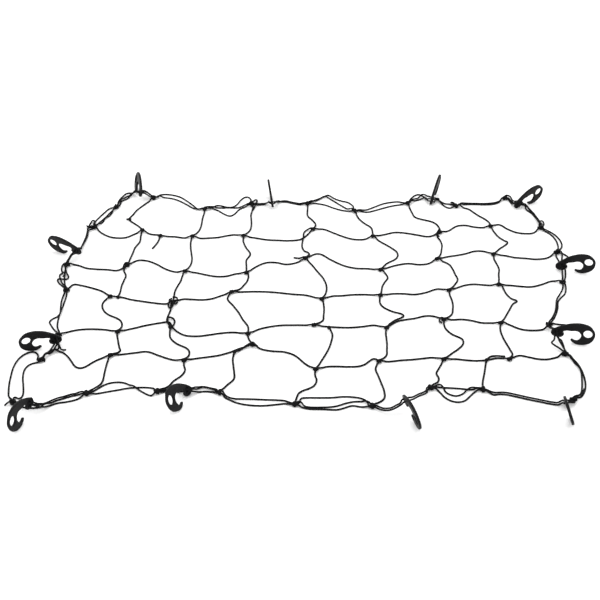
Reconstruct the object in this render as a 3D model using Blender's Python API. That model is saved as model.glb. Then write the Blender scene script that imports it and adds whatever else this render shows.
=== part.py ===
"""Cargo net: an elastic cord net of 8 by 6 meshes with twelve moulded hooks, laid out on a floor.

Metres, +Z up. The net's long side runs along X, and its far side is at +Y.
The knots and bends are placed where one photograph shows them: each is read as a pixel of that
picture, and on_floor() turns it into a point of the floor.
"""

import math

import bmesh
import bpy
from mathutils import Matrix, Vector
from mathutils.geometry import interpolate_bezier

# The view in which the knots were read: a square picture, looking along +Y and down.
# MIDDLE_X and MIDDLE_Y are the floor point at its middle, counted from the net's own middle.
VIEW_ELEVATION = math.radians(33.5)
VIEW_DISTANCE = 2.905
FOCAL_PX = 1230.0
PICTURE_MIDDLE_PX = 300.0
MIDDLE_X = -0.04305
MIDDLE_Y = -0.03278

# Cord and knots.
CORD_DIAMETER = 0.004
CORD_SIDES = 5
CORD_CORNER_RADIUS = 0.575 * CORD_DIAMETER
CORD_TOLERANCE = 0.0032
KNOT_LENGTH = 0.012
KNOT_HEIGHT = 0.0104
KNOT_INSET = 0.003
KNOT_RISE = 0.018
LOOP_RAISE = 0.0011

# Edge knots, tied round the two border cords that lie side by side in them.
EDGE_KNOT_LENGTH = 0.009
EDGE_BORE = (0.0059, 0.0035)
EDGE_OUTER = (0.0076, 0.0056)
EDGE_SIDES = 8
EDGE_ANGLES = math.pi / EDGE_SIDES
EDGE_KNOT_AXIS = EDGE_OUTER[1] * math.cos(EDGE_ANGLES)
BORDER_SPACING = 0.0047
NET_END_FROM_AXIS = 0.00625
EDGE_STRAIGHT = 0.0062

# Hooks.
HOOK_LENGTH = 0.0957
HOOK_HEIGHT = 0.0546
HOOK_THICKNESS = 0.006
HOOK_DRAWN = (101.8, 56.0)
CORD_HOLE_RADIUS = 0.0034
CORD_HOLE_SIDES = 6
EYE_SIDES = 8
HOOK_STRAIGHT = 0.0075
HOOK_SLOPE = 2.2
HANGING_SHARE = 0.4

# Knots: picture columns and rows, from the far edge (a) to the near edge (g), left to right.
KNOTS = {
    "a": [(116, 207), (154.5, 197.5), (205, 208.5), (252, 204), (307.5, 203), (355, 210.5),
          (407.5, 203), (456, 205.5), (505, 198)],
    "b": [(94, 227), (142.5, 230), (192.5, 236), (243.5, 235.5), (313, 229), (373, 236),
          (440, 232), (490.5, 226), (541.2, 227.5)],
    "c": [(66.5, 264.5), (127.5, 265), (185, 271), (246.5, 272.5), (305.5, 258), (380.5, 269.5),
          (437, 258.7), (493.5, 254), (557.5, 252)],
    "d": [(66, 290), (110.3, 296.3), (173, 301.5), (231.8, 291.7), (322, 298.8), (380.5, 295),
          (449, 290), (498.7, 284.3), (563, 282)],
    "e": [(58, 334.5), (117.5, 331.5), (171, 327), (248, 333.5), (314, 324.8), (386.7, 327.5),
          (444, 319.3), (500.7, 322.8), (549.7, 324)],
    "f": [(41.5, 359.5), (110.5, 355), (184, 360), (252.7, 344.7), (315.7, 369), (379, 361),
          (444, 359), (509.5, 359), (565.8, 354)],
    "g": [(12.3, 401.5), (86.3, 393.5), (157, 391.5), (219.5, 392.5), (295, 404), (372, 406.3),
          (430.7, 387.8), (483, 389.6), (574, 399.5)],
}
ROWS = "abcdefg"
LAST_COLUMN = 8

# Side knots: ties beside the crossings, mostly of a lengthwise cord to a cross cord.
SIDE_KNOTS = {"a1": (129.9, 219.4), "b1": (160.3, 235.6), "d1": (118, 297),
              "e4": (329, 327.5), "f3": (234.5, 352), "f7": (486.5, 360)}
# Which end of a lengthwise span is at a side knot: span name (row above, column) to knot.
SPAN_STARTS = {"e4": "e4", "f3": "f3", "f7": "f7"}
SPAN_ENDS = {"c1": "d1"}

# Cross cords: picture rows of the cord at even steps from each knot to the next, left to right.
CROSS_CORDS = {
    "b": [(233.3, 236.9, 238, 237.4, 234.2), (234.2, 235, 236.4, 236.8, 237.9),
          (238.3, 238, 237.4, 235.8, 234.8), (237.9, 239.7, 240.3, 240.6, 239),
          (229.2, 232.7, 236.5, 239.2, 239.5), (234.6, 232.4, 233.2, 235, 236.5),
          (230.8, 226.1, 225.3, 226.9, 227.6), (224.7, 229, 232.3, 233.5, 233.1)],
    "c": [(265, 268.2, 269.2, 269.6, 270.4), (260.6, 260.7, 264, 269.1, 271.9),
          (272.6, 274.7, 276.4, 276.2, 273.8), (266.6, 262.7, 262.5, 264.3, 262.9),
          (253.8, 259.6, 265.3, 268.2, 268.7), (267, 264.6, 263.5, 264.5, 263.8),
          (256.9, 255.5, 253.7, 251.2, 251.4), (255.5, 257.5, 258.3, 259.2, 258)],
    "d": [(284.6, 285.3, 287, 289, 291.7), (297.1, 299.6, 301.2, 302.7, 303.8),
          (299.2, 299.4, 299.8, 298.6, 295.4), (291.7, 291.6, 292.5, 294.1, 295.4),
          (296.2, 295.7, 294.8, 294.5, 294.8), (293.8, 293.7, 294.4, 292.4, 289),
          (287.7, 285.1, 284.2, 284.8, 285.3), (285.3, 286.3, 286.8, 284.5, 281.1)],
    "e": [(332, 329.9, 329.1, 329.2, 330), (329.9, 327.9, 325.7, 324, 322.6),
          (335, 336.2, 334.8, 333, 332.4), (329.2, 326.7, 325.3, 325.1, 325.1),
          (326.5, 327.3, 327.5, 326.6, 325.3), (321.8, 319.6, 318.2, 316, 316.4),
          (319.7, 319.4, 320.7, 322.8, 323), (323.2, 327, 329.6, 330.3, 329.8)],
    "f": [(355, 353.7, 367, 365.6, 359.3), (354.3, 352.8, 351.7, 355.8, 359.6),
          (358.6, 357.1, 355.4, 352.3, 348), (349.6, 351.2, 351.9, 355.4, 363.8),
          (366.8, 366.4, 366.7, 366.4, 362.9), (361.5, 360.3, 359.6, 358.5, 357.6),
          (359, 360.1, 360.7, 359.9, 358.1), (355.6, 357, 358.9, 359.3, 357.4)],
}

# Lengthwise cords: picture columns of the cord at even steps down from each knot to the next.
LENGTHWISE_CORDS = {
    1: [(146.5, 139.2, 133.9, 129.7, 136), (140.8, 139.9, 135.2, 132.7, 130),
        (124, 125.9, 123.7, 121.5, 120.3), (103.4, 102.5, 107.2, 119.5, 122),
        (117.1, 117.8, 118.4, 119.2, 119.8), (107.6, 105.7, 104.2, 102.7, 98.4)],
    2: [(204.3, 202.7, 201.9, 200.9, 198.5), (190.8, 190.7, 191.4, 192, 190.5),
        (182.4, 180.6, 177.5, 174.9, 174), (171, 170.8, 169.4, 167.6, 168),
        (169.8, 170.5, 176.5, 187.6, 189.2), (183.9, 185, 181.2, 173.5, 168.5)],
    3: [(253, 251, 251.3, 251.4, 250), (243.4, 246.2, 250.3, 246.4, 246.4),
        (248.5, 248, 246.6, 243.7, 240.6), (227.5, 233.2, 238.7, 242.8, 248),
        (247.8, 248.8, 251), (232.8, 233.3, 234.1, 233.8, 226.3)],
    4: [(307.7, 307.4, 307.8, 312.5, 315.7), (303, 302.3, 302.5, 307, 309.6),
        (311.8, 317.5, 323.3, 326.3, 326.2), (323.4, 324, 324, 323.5, 322.8),
        (332.4, 331.3, 328.9, 325.1, 320.6), (315, 316.6, 313, 299.8, 296.5)],
    5: [(356.3, 359.2, 364.2, 371, 372.5), (380.2, 390.2, 397.3, 396.3, 386.2),
        (385.5, 387.7, 384.6, 382.3, 381.6), (379.8, 380.1, 383.5, 391.8, 403.5, 397.7, 392.2),
        (385.8, 386.5, 387, 386.9, 386.4), (376.2, 378.6, 381.5, 384.2, 384)],
    6: [(409.5, 412, 415.7, 433.3, 438.8), (437.4, 440.4, 442, 441.5, 440.6),
        (448.4, 452.7, 455.2, 457.7, 454.6), (449.7, 451.8, 452.9, 452.8, 451.7),
        (443.9, 446.2, 452, 462.2, 463, 458.2, 451), (441.6, 438.8, 436.4, 438.8, 437.3)],
    7: [(468, 473.5, 478.7, 485, 489.2), (492.5, 497, 505, 506, 499),
        (494, 496.8, 499.1, 498.7, 499), (502.6, 506.4, 513, 513.8, 510.2, 507.5, 504.4),
        (500.8, 502.3, 505.3, 508.5, 512.2), (485.6, 484.9, 484.1, 483.1, 482.6)],
}

# Doubled turns and free tails of the net cords: points of the picture.
NET_LOOPS = [
    [(313, 229), (306.5, 230.5), (303, 234.5), (301, 239.3)],
    [(172, 301.5), (167.3, 305), (169.4, 313)],
    [(170, 327), (167.5, 321.5), (171.5, 316.8), (175.3, 321.5), (172, 327)],
    [(252.7, 344.7), (244, 350.8), (234.5, 352)],
]
NET_TAILS = [
    [(160.3, 235.6), (157.5, 242.5), (152.5, 248.5)],
    [(129.7, 219.4), (125, 219.3)],
    [(305.5, 258), (294, 257.7)],
    [(252.7, 344.7), (257.5, 348)],
]

# Border stations in order, clockwise from the far left corner: knots by name, hooks by number.
BORDER = ["a0", 1, "a1", "a2", "a3", 2, "a4", "a5", "a6", 3, "a7", "a8", 4, "b8", "c8", 5, "d8",
          "e8", 6, "f8", "g8", 7, "g7", "g6", 8, "g5", "g4", "g3", 9, "g2", "g1", 10, "g0", "f0",
          11, "e0", "d0", "c0", 12, "b0"]
CORNERS = ("a0", "a8", "g8", "g0")

# Border cords from each station to the next, (outer, inner), as points of the picture. Plain
# numbers are picture rows at even steps along the far and near sides, and picture columns at
# even steps along the other two sides.
BORDER_WAYS = [
    ([(122.5, 196.8), (128, 193.2)], [(122, 201.2), (127, 199), (131, 196.5)]),
    ((), ()),
    ([(165, 194.4), (172, 195), (180, 197), (187, 201), (193, 205.3), (198, 209)],
     [(166, 197.8), (173, 198.8), (180, 201.2), (187, 204.8), (193, 208.2)]),
    ([(213, 207), (217, 205.6), (221, 205.8), (227, 207.2), (233, 207), (237, 204.5),
      (241, 200), (245, 197.3), (248.5, 197.3)],
     [(212, 209), (218, 210.6), (224, 214), (230, 216), (234.5, 214), (239, 209.8), (245, 207)]),
    ([(263, 203.5)], [(263, 204.7)]),
    ([(285, 200.8), (292, 202.2), (300, 203.5)], [(285, 201.9), (292, 203.2), (300, 204.7)]),
    ([(318.3, 199), (324, 196.6), (327.8, 195.2), (330.6, 196.3), (335, 198.9), (341.7, 201.1),
      (347.2, 202.2), (351, 204.3)],
     [(314, 203.4), (325, 205), (332.8, 207.8), (341.7, 210.3)]),
    ([(366.1, 209.9), (373.9, 207.2), (382.8, 203.9), (391.7, 202.2), (399.4, 201.9)],
     [(367.2, 212.2), (373.9, 210.8), (382.8, 208.3), (391.7, 206.1), (399.4, 204.9)]),
    ([(413.9, 196.1), (419.4, 194.2), (424.4, 195.2)], [(417.2, 200.2), (424, 199.2)]),
    ([(441, 201.8), (445, 203.7)], [(441, 203.4), (445, 206.5), (449.4, 208.2)]),
    ([(466, 203.1), (475, 203.3), (485, 203.4), (493, 202.8), (499, 201.3)],
     [(467, 204.5), (475, 204.4), (485, 204.7), (493, 204.2), (499.3, 202.4)]),
    ((), ()),
    ([(524, 206.3), (529.8, 210.5), (536.3, 216.3), (540.3, 221.5)],
     [(522.8, 207.6), (528.3, 211.8), (534.8, 217.3), (539, 222)]),
    ([(547.2, 230.6), (551, 232.4), (555.3, 235.2), (559.4, 239.4), (561.7, 243.9)],
     [(549, 233.4), (553, 236.6), (556.1, 240.8), (557.8, 245)]),
    ([(567.5, 256.5), (568.3, 260)], ()),
    ((), ()),
    ([(565.9, 289), (564.8, 294), (560.8, 298), (558, 302), (557.8, 307), (556.8, 312),
      (554.5, 317.5)],
     [(562.3, 289.5), (560, 294), (557.3, 298.3), (556.3, 302.5), (556, 307.5), (555, 312.5),
      (552.8, 317.5)]),
    ((), ()),
    ([(558.8, 339.5), (562, 346)], [(554.3, 338.8), (551.6, 342), (554, 345.3), (560, 348.8)]),
    ((575, 580.3, 583.4, 585.1, 583.8), (572.2, 578.7, 581.6, 582.1, 581.3)),
    ((), ()),
    ((404.6, 402.3, 399.2, 396.3, 393.9), (403.3, 401.2, 398.2, 395.1, 391.9)),
    ([(475, 392), (470, 396.3), (465, 400.6), (458.8, 402.1), (451.3, 400.9), (445, 397.5),
      (440, 392.5)],
     [(470, 389.6), (458.8, 388.5), (446.3, 387.8), (438, 387.4)]),
    ([(420, 396.2), (413.5, 399.8)], [(419.6, 395), (413, 398.4)]),
    ([(396.5, 408), (390, 410.6), (383, 410)], [(396, 405.8), (390, 409.3), (383.3, 408.8)]),
    ([(360, 406.8), (352.2, 405.8), (343.3, 408.3), (336.7, 409.8), (321.1, 409.2), (310, 409),
      (302, 407.6)],
     [(367.3, 401.8), (362.2, 398.7), (354.4, 397.2), (343.3, 396.7), (332.2, 397.6),
      (321.1, 397.8), (305.6, 397.8), (301, 398.6)]),
    ([(286, 403.8), (277.8, 404.4), (267.8, 405.4), (257.8, 405.7), (245.6, 404.7),
      (236.7, 402.8), (230.5, 400.3), (225.2, 397.4)],
     [(285.6, 400.9), (276.7, 400.1), (265.6, 399.7), (251.1, 399.1), (236.7, 398.9),
      (230.8, 398.9), (225.9, 396.4)]),
    ([(213, 392.3), (205, 391.5), (197, 391.2)], [(210, 388), (203.3, 386.9), (197, 387.9)]),
    ((391.5, 391), (389.5, 389.3)),
    ([(148.9, 387.7), (142.2, 387.4), (133.3, 387.7), (126.7, 388.4), (117.8, 390),
      (107.8, 391.7), (98.9, 393.3)],
     [(151.5, 395.7), (148, 394.9), (144.4, 393.1), (140, 390.7), (135.6, 388.5),
      (131.1, 386.1), (125.6, 383.3), (118.9, 382.2), (110, 383.1), (104.4, 385), (98.5, 388.2)]),
    ([(81, 397.7), (75, 400), (66, 402), (57, 403.9), (48, 406.1), (40, 407.7)],
     [(79, 394.8), (71, 396.3), (63, 398.7), (55, 401.4), (47, 403.5), (38.5, 404.3)]),
    ((404.5,), (398.8,)),
    ([(8.6, 394.5), (10.2, 380.5), (15, 369), (25, 363.5), (34, 362.3)],
     (22.8, 23, 23.3, 25.5, 31)),
    ([(46.9, 353.1), (50.5, 349)], [(50, 353.3), (55, 348.8)]),
    ((), ()),
    ([(53.5, 329), (50.2, 324), (49.6, 321.8), (52.5, 319), (57, 316.8), (60, 313.5),
      (60.6, 308), (61.3, 302), (63, 296.5)],
     [(57.4, 327), (58, 320.5), (59.8, 315.5), (61.9, 310), (63.8, 303.8), (66, 297.5)]),
    ([(60, 284.2), (57.6, 281), (58, 279.2), (61, 278.9), (65, 279.4), (67.9, 278.6),
      (68.4, 276), (66.9, 273.3)],
     [(64.6, 281), (64.8, 276), (65.3, 272)]),
    ([(70.8, 256.5)], [(71.9, 257)]),
    ([(84.4, 240.6), (86.5, 235.3), (87.6, 230.3)], [(85.5, 241.3), (87.8, 235.9)]),
    ([(99.5, 217.3), (104.5, 212.7), (109.5, 208.8)],
     [(102.5, 220), (106.5, 216.5), (111, 212)]),
]
# The far side is read to this station, the right side to the next, and so on round the border.
SIDE_ENDS = (12, 21, 32, 40)

# Third cords in the border: first station, last station, picture points between them.
BORDER_THIRDS = [
    ("a2", "a3", [(213, 207.7), (222, 207.9), (240, 208), (246, 206.5)]),
    ("a4", "a5", [(315.4, 202.5), (323.3, 200.5), (331.3, 202), (339.2, 205.2), (347, 208.6)]),
    ("g7", "g6", [(474, 391.3), (465.6, 392.4), (456.9, 395.9), (448, 394), (440, 390)]),
    ("g5", "g4", [(359.2, 402.8), (346.3, 403.2), (333.5, 406.4), (320.7, 406.8), (307.8, 406.2)]),
]
BORDER_LOOPS = [
    [(15, 369), (20, 359.5), (27, 354), (33, 352), (39, 352.4), (45, 353)],
]
BORDER_TAILS = [
    [(12.3, 401.5), (4.5, 405.8)],
    [(574, 399.5), (579.5, 401.5)],
]

# Hooks: number, picture point of the two cord holes, heading, pitch and lean in degrees.
# Heading points from the base to the crest, pitch raises the crest, lean is to the right.
HOOKS = [
    (1, (140.6, 192.5), 103, 9, 14),
    (2, (272.1, 203.0), 98, 18, -8),
    (3, (431.8, 200.3), 68, 30, 8),
    (4, (518.0, 204.1), 30, 22, 8),
    (5, (560.7, 265.8), -16, 22, 5),
    (6, (556.8, 332.1), -15, 10, -1),
    (7, (566.0, 402.0), -97, 22, 21),
    (8, (405.5, 399.9), -75, 5, 14),
    (9, (187.3, 390.3), 241, 21, 27),
    (10, (29.3, 402.8), 250, 8, 6),
    (11, (56.2, 339.6), 205, 18, -9),
    (12, (76.8, 250.7), 157, 11, -15),
]

# Side outline of a hook, in drawing units: along from the base's back, up from the belly.
HOOK_TOP_EDGE = [(0, 33), (2, 39), (12, 45), (24, 49.5), (45, 55), (57, 56), (70, 55.5), (80, 53),
                 (92, 47), (99, 36.5), (101.8, 26.5), (99, 16.5), (92, 7), (80, 1), (70, 0)]
HOOK_JAW = [(60, 1), (52, 4.5), (45.5, 10.5), (44.5, 13.5), (47, 14.5), (52, 11.5), (59, 10.2)]
HOOK_THROAT = [(65.5, 14.5), (69.5, 21.5), (68.5, 30), (62, 36.3), (50, 37.5), (27, 35)]
HOOK_BALL = [(29.2, 29), (26, 24), (20, 21.5), (12, 22), (4, 26)]
HOOK_EYE = {"along": 85.3, "up": 27.5, "half_length": 11.0, "half_height": 11.0}
HOOK_CORD_HOLES = {"outer": (17.3, 32.2), "inner": (8.9, 34.2)}


def clear_scene():
    for found in list(bpy.data.objects):
        bpy.data.objects.remove(found, do_unlink=True)


def make_material(name, colour, roughness):
    material = bpy.data.materials.new(name)
    material.use_nodes = True
    shader = material.node_tree.nodes["Principled BSDF"]
    shader.inputs["Base Color"].default_value = (*colour, 1.0)
    shader.inputs["Roughness"].default_value = roughness
    return material


def on_floor(px, py, height=0.0):
    """The point at this height over the floor that the picture shows at (px, py)."""
    sine = math.sin(VIEW_ELEVATION)
    cosine = math.cos(VIEW_ELEVATION)
    down = py - PICTURE_MIDDLE_PX
    y = -down * (VIEW_DISTANCE - height * sine) - FOCAL_PX * height * cosine
    y /= FOCAL_PX * sine + down * cosine
    depth = VIEW_DISTANCE + y * cosine - height * sine
    x = (px - PICTURE_MIDDLE_PX) * depth / FOCAL_PX
    return Vector((x + MIDDLE_X, y + MIDDLE_Y, height))


def in_picture(point):
    """The picture point at which a point of the model shows."""
    sine = math.sin(VIEW_ELEVATION)
    cosine = math.cos(VIEW_ELEVATION)
    away = point.y - MIDDLE_Y
    depth = VIEW_DISTANCE + away * cosine - point.z * sine
    px = PICTURE_MIDDLE_PX + FOCAL_PX * (point.x - MIDDLE_X) / depth
    return px, PICTURE_MIDDLE_PX - FOCAL_PX * (away * sine + point.z * cosine) / depth


def knot_px(name):
    return KNOTS[name[0]][int(name[1:])]


def readings_to_points(start, end, readings, along_rows):
    """Picture points at even steps from start to end; readings give the coordinate across."""
    if readings and isinstance(readings[0], tuple):
        return list(readings)
    points = []
    for number, reading in enumerate(readings, start=1):
        share = number / (len(readings) + 1)
        if along_rows:
            points.append((start[0] + (end[0] - start[0]) * share, reading))
        else:
            points.append((reading, start[1] + (end[1] - start[1]) * share))
    return points


def smooth_curve(points, lead_in=None, lead_out=None):
    """Dense curve through the points, with its end directions where they are given."""
    directions = []
    for index, point in enumerate(points):
        before = points[max(index - 1, 0)]
        after = points[min(index + 1, len(points) - 1)]
        directions.append((after - before).normalized())
    if lead_in is not None:
        directions[0] = lead_in.normalized()
    if lead_out is not None:
        directions[-1] = lead_out.normalized()
    curve = [points[0]]
    for index in range(len(points) - 1):
        start, end = points[index], points[index + 1]
        reach = (end - start).length / 3
        piece = interpolate_bezier(start, start + directions[index] * reach,
                                   end - directions[index + 1] * reach, end, 9)
        curve.extend(piece[1:])
    return curve


def thin_out(path, tolerance):
    """Fewer points of the path, none of the others further from the result than tolerance."""
    start, end = path[0], path[-1]
    run = end - start
    widest, widest_index = 0.0, 0
    for index in range(1, len(path) - 1):
        share = (path[index] - start).dot(run) / max(run.length_squared, 1e-12)
        off = (path[index] - start - run * min(max(share, 0.0), 1.0)).length
        if off > widest:
            widest, widest_index = off, index
    if widest <= tolerance:
        return [start, end]
    first = thin_out(path[:widest_index + 1], tolerance)
    return first[:-1] + thin_out(path[widest_index:], tolerance)


def ease(share):
    """1 at 0, falling smoothly to 0 at 1 and beyond."""
    return 0.5 + 0.5 * math.cos(math.pi * min(max(share, 0.0), 1.0))


def lying_path(start, vias, end, rest, lead_in=None, lead_out=None, as_plan=False):
    """Cord centre line that comes down to the floor from start and rises again to end.

    start and end are points, vias are picture points, rest is the centre's height on the floor.
    A short cord between two heights hangs straight from one to the other.
    As a plan, the vias are taken to lie on the floor, whatever height the cord has there.
    """
    rough = [start] + [on_floor(px, py, rest) for px, py in vias] + [end]
    span = sum((after - before).length for before, after in zip(rough, rough[1:]))
    rises = [min(max(KNOT_RISE, HOOK_SLOPE * (point.z - rest)), 0.48 * span)
             for point in (start, end)]
    hangs = HOOK_SLOPE * abs(start.z - end.z) > HANGING_SHARE * span

    def height(distance, length):
        if hangs:
            return start.z + (end.z - start.z) * (1.0 - ease(distance / length))
        up_start = (start.z - rest) * ease(distance / rises[0])
        up_end = (end.z - rest) * ease((length - distance) / rises[1])
        return rest + up_start + up_end

    points = [start]
    for number, (px, py) in enumerate(vias, start=1):
        share = number / (len(vias) + 1)
        seen_height = rest if as_plan else height(share * span, span)
        points.append(on_floor(px, py, seen_height))
    points.append(end)
    flat = [Vector((point.x, point.y, 0.0)) for point in points]
    level_in = None if lead_in is None else Vector((lead_in.x, lead_in.y, 0.0))
    level_out = None if lead_out is None else Vector((lead_out.x, lead_out.y, 0.0))
    curve = smooth_curve(flat, level_in, level_out)
    reached = [0.0]
    for index in range(1, len(curve)):
        reached.append(reached[-1] + (curve[index] - curve[index - 1]).length)
    path = []
    for point, distance in zip(curve, reached):
        path.append(Vector((point.x, point.y, height(distance, reached[-1]))))
    return thin_out(path, CORD_TOLERANCE)


def add_tube(mesh, path, closed=False, edge_down=False):
    """Five-sided cord along the path, with a flat side down or an edge down."""
    turn = 0.0 if edge_down else math.pi / CORD_SIDES
    rings = []
    count = len(path)
    for index, point in enumerate(path):
        before = path[(index - 1) % count] if closed else path[max(index - 1, 0)]
        after = path[(index + 1) % count] if closed else path[min(index + 1, count - 1)]
        step_in = (point - before).normalized() if (point - before).length > 0 else None
        step_out = (after - point).normalized() if (after - point).length > 0 else None
        forward = ((step_in or step_out) + (step_out or step_in)).normalized()
        side = forward.cross(Vector((0.0, 0.0, 1.0))).normalized()
        up = side.cross(forward)
        ring = []
        for corner in range(CORD_SIDES):
            angle = turn + math.tau * corner / CORD_SIDES
            offset = side * math.sin(angle) - up * math.cos(angle)
            ring.append(mesh.verts.new(point + offset * CORD_CORNER_RADIUS))
        rings.append(ring)
    pairs = list(zip(rings, rings[1:]))
    if closed:
        pairs.append((rings[-1], rings[0]))
    else:
        mesh.faces.new(rings[0])
        mesh.faces.new(list(reversed(rings[-1])))
    for ring, following in pairs:
        for corner in range(CORD_SIDES):
            other = (corner + 1) % CORD_SIDES
            mesh.faces.new((ring[corner], following[corner], following[other], ring[other]))


def add_knot(mesh, centre, along, length, width, height):
    """A tied knot as a block with every corner cut back to the middle of its edges."""
    along = Vector((along.x, along.y, 0.0)).normalized()
    side = Vector((-along.y, along.x, 0.0))
    up = Vector((0.0, 0.0, 1.0))
    corners = []
    for first, second in ((0, 1), (0, 2), (1, 2)):
        for first_sign in (-1, 1):
            for second_sign in (-1, 1):
                share = [0, 0, 0]
                share[first] = first_sign
                share[second] = second_sign
                offset = along * share[0] * length / 2 + side * share[1] * width / 2
                corners.append(mesh.verts.new(centre + offset + up * share[2] * height / 2))
    bmesh.ops.convex_hull(mesh, input=corners)


def add_edge_knot(mesh, centre, along):
    """A knot wound round the border: a flattened ring along the border's own direction."""
    along = Vector((along.x, along.y, 0.0)).normalized()
    side = Vector((-along.y, along.x, 0.0))
    up = Vector((0.0, 0.0, 1.0))
    rings = []
    for radii, end in ((EDGE_OUTER, -1), (EDGE_OUTER, 1), (EDGE_BORE, 1), (EDGE_BORE, -1)):
        ring = []
        for corner in range(EDGE_SIDES):
            angle = EDGE_ANGLES + math.tau * corner / EDGE_SIDES
            offset = side * math.cos(angle) * radii[0] + up * math.sin(angle) * radii[1]
            ring.append(mesh.verts.new(centre + offset + along * end * EDGE_KNOT_LENGTH / 2))
        rings.append(ring)
    for ring, following in zip(rings, rings[1:] + rings[:1]):
        for corner in range(EDGE_SIDES):
            other = (corner + 1) % EDGE_SIDES
            mesh.faces.new((ring[corner], ring[other], following[other], following[corner]))


def make_object(name, mesh, material, cutter=False):
    bmesh.ops.recalc_face_normals(mesh, faces=mesh.faces)
    data = bpy.data.meshes.new(name)
    mesh.to_mesh(data)
    mesh.free()
    made = bpy.data.objects.new(name, data)
    bpy.context.scene.collection.objects.link(made)
    if material:
        data.materials.append(material)
    if cutter:
        made.hide_render = True
        made.display_type = "WIRE"
    return made


def add_boolean(target, other, operation):
    modifier = target.modifiers.new(other.name, "BOOLEAN")
    modifier.operation = operation
    modifier.object = other
    modifier.solver = "EXACT"
    modifier.use_self = operation == "UNION"


def hook_point(along, up, across=0.0):
    """A drawn point of the hook's side, in the hook's own frame."""
    return Vector((along * HOOK_LENGTH / HOOK_DRAWN[0], across, up * HOOK_HEIGHT / HOOK_DRAWN[1]))


def hook_placement(picture_point, heading, pitch, lean):
    """Matrix that stands a hook on the floor with its cord holes where the picture shows them."""
    turned = Matrix.Rotation(math.radians(heading), 4, "Z")
    raised = Matrix.Rotation(-math.radians(pitch), 4, "Y")
    leaned = Matrix.Rotation(math.radians(lean), 4, "X")
    rotation = turned @ raised @ leaned
    outline = HOOK_TOP_EDGE + HOOK_JAW + HOOK_THROAT + HOOK_BALL
    lowest = min((rotation @ hook_point(along, up, across)).z
                 for along, up in outline
                 for across in (-HOOK_THICKNESS / 2, HOOK_THICKNESS / 2))
    holes = [hook_point(*place) for place in HOOK_CORD_HOLES.values()]
    middle = rotation @ ((holes[0] + holes[1]) / 2)
    wanted = on_floor(*picture_point, middle.z - lowest)
    return Matrix.Translation(wanted - middle) @ rotation


def make_hook_mesh():
    """One hook lying in its own frame: the outline pulled out, with its eye and cord holes."""
    mesh = bmesh.new()
    outline = HOOK_TOP_EDGE + HOOK_JAW + HOOK_THROAT + HOOK_BALL
    front = [mesh.verts.new(hook_point(*place, -HOOK_THICKNESS / 2)) for place in outline]
    face = mesh.faces.new(front)
    pulled = bmesh.ops.extrude_face_region(mesh, geom=[face])
    moved = [item for item in pulled["geom"] if isinstance(item, bmesh.types.BMVert)]
    bmesh.ops.translate(mesh, verts=moved, vec=(0.0, HOOK_THICKNESS, 0.0))
    body = make_object("hook_blank", mesh, None, cutter=True)
    eye_centre = hook_point(HOOK_EYE["along"], HOOK_EYE["up"])
    eye_reach = hook_point(HOOK_EYE["half_length"], HOOK_EYE["half_height"])
    holes = [(eye_centre, eye_reach.x, eye_reach.z, EYE_SIDES)]
    for along, up in HOOK_CORD_HOLES.values():
        centre = hook_point(along, up)
        holes.append((centre, CORD_HOLE_RADIUS, CORD_HOLE_RADIUS, CORD_HOLE_SIDES))
    cutter_mesh = bmesh.new()
    for centre, half_length, half_height, sides in holes:
        ring = []
        for corner in range(sides):
            angle = math.tau * (corner + 0.5) / sides
            offset = Vector((half_length * math.cos(angle), -HOOK_THICKNESS,
                             half_height * math.sin(angle)))
            ring.append(cutter_mesh.verts.new(centre + offset))
        cap = cutter_mesh.faces.new(ring)
        pulled = bmesh.ops.extrude_face_region(cutter_mesh, geom=[cap])
        moved = [item for item in pulled["geom"] if isinstance(item, bmesh.types.BMVert)]
        bmesh.ops.translate(cutter_mesh, verts=moved, vec=(0.0, 2 * HOOK_THICKNESS, 0.0))
    cutter = make_object("hook_holes", cutter_mesh, None, cutter=True)
    add_boolean(body, cutter, "DIFFERENCE")
    bpy.context.view_layer.update()
    cut = body.evaluated_get(bpy.context.evaluated_depsgraph_get())
    data = bpy.data.meshes.new_from_object(cut)
    bpy.data.objects.remove(body)
    bpy.data.objects.remove(cutter)
    return data


def make_hooks(material):
    """The twelve hooks, and where each one holds the outer and the inner border cord."""
    shape = make_hook_mesh()
    places = {}
    for number, picture_point, heading, pitch, lean in HOOKS:
        data = shape.copy()
        placement = hook_placement(picture_point, heading, pitch, lean)
        data.transform(placement)
        data.materials.clear()
        data.materials.append(material)
        hook = bpy.data.objects.new(f"hook_{number:02d}", data)
        bpy.context.scene.collection.objects.link(hook)
        across = (placement.to_3x3() @ Vector((0.0, 1.0, 0.0))).normalized()
        places[number] = {
            "outer": placement @ hook_point(*HOOK_CORD_HOLES["outer"]),
            "inner": placement @ hook_point(*HOOK_CORD_HOLES["inner"]),
            "across": across,
        }
    return places


def border_stations(hook_places):
    """Place and direction of each border station, clockwise."""
    flat = []
    for name in BORDER:
        if isinstance(name, int):
            place = hook_places[name]
            flat.append((place["outer"] + place["inner"]) / 2)
        else:
            flat.append(on_floor(*knot_px(name), EDGE_KNOT_AXIS))
    stations = []
    for index, name in enumerate(BORDER):
        onward = flat[(index + 1) % len(flat)] - flat[index - 1]
        onward.z = 0.0
        onward.normalize()
        station = {"name": name, "centre": flat[index], "along": onward}
        if isinstance(name, int):
            across = hook_places[name]["across"]
            station["along"] = across if across.dot(onward) > 0 else -across
            station["outer"] = hook_places[name]["outer"]
            station["inner"] = hook_places[name]["inner"]
            station["straight"] = HOOK_STRAIGHT
        else:
            outward = Vector((-onward.y, onward.x, 0.0))
            station["outer"] = flat[index] + outward * BORDER_SPACING / 2
            station["inner"] = flat[index] - outward * BORDER_SPACING / 2
            station["straight"] = EDGE_STRAIGHT
        stations.append(station)
    return stations


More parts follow.
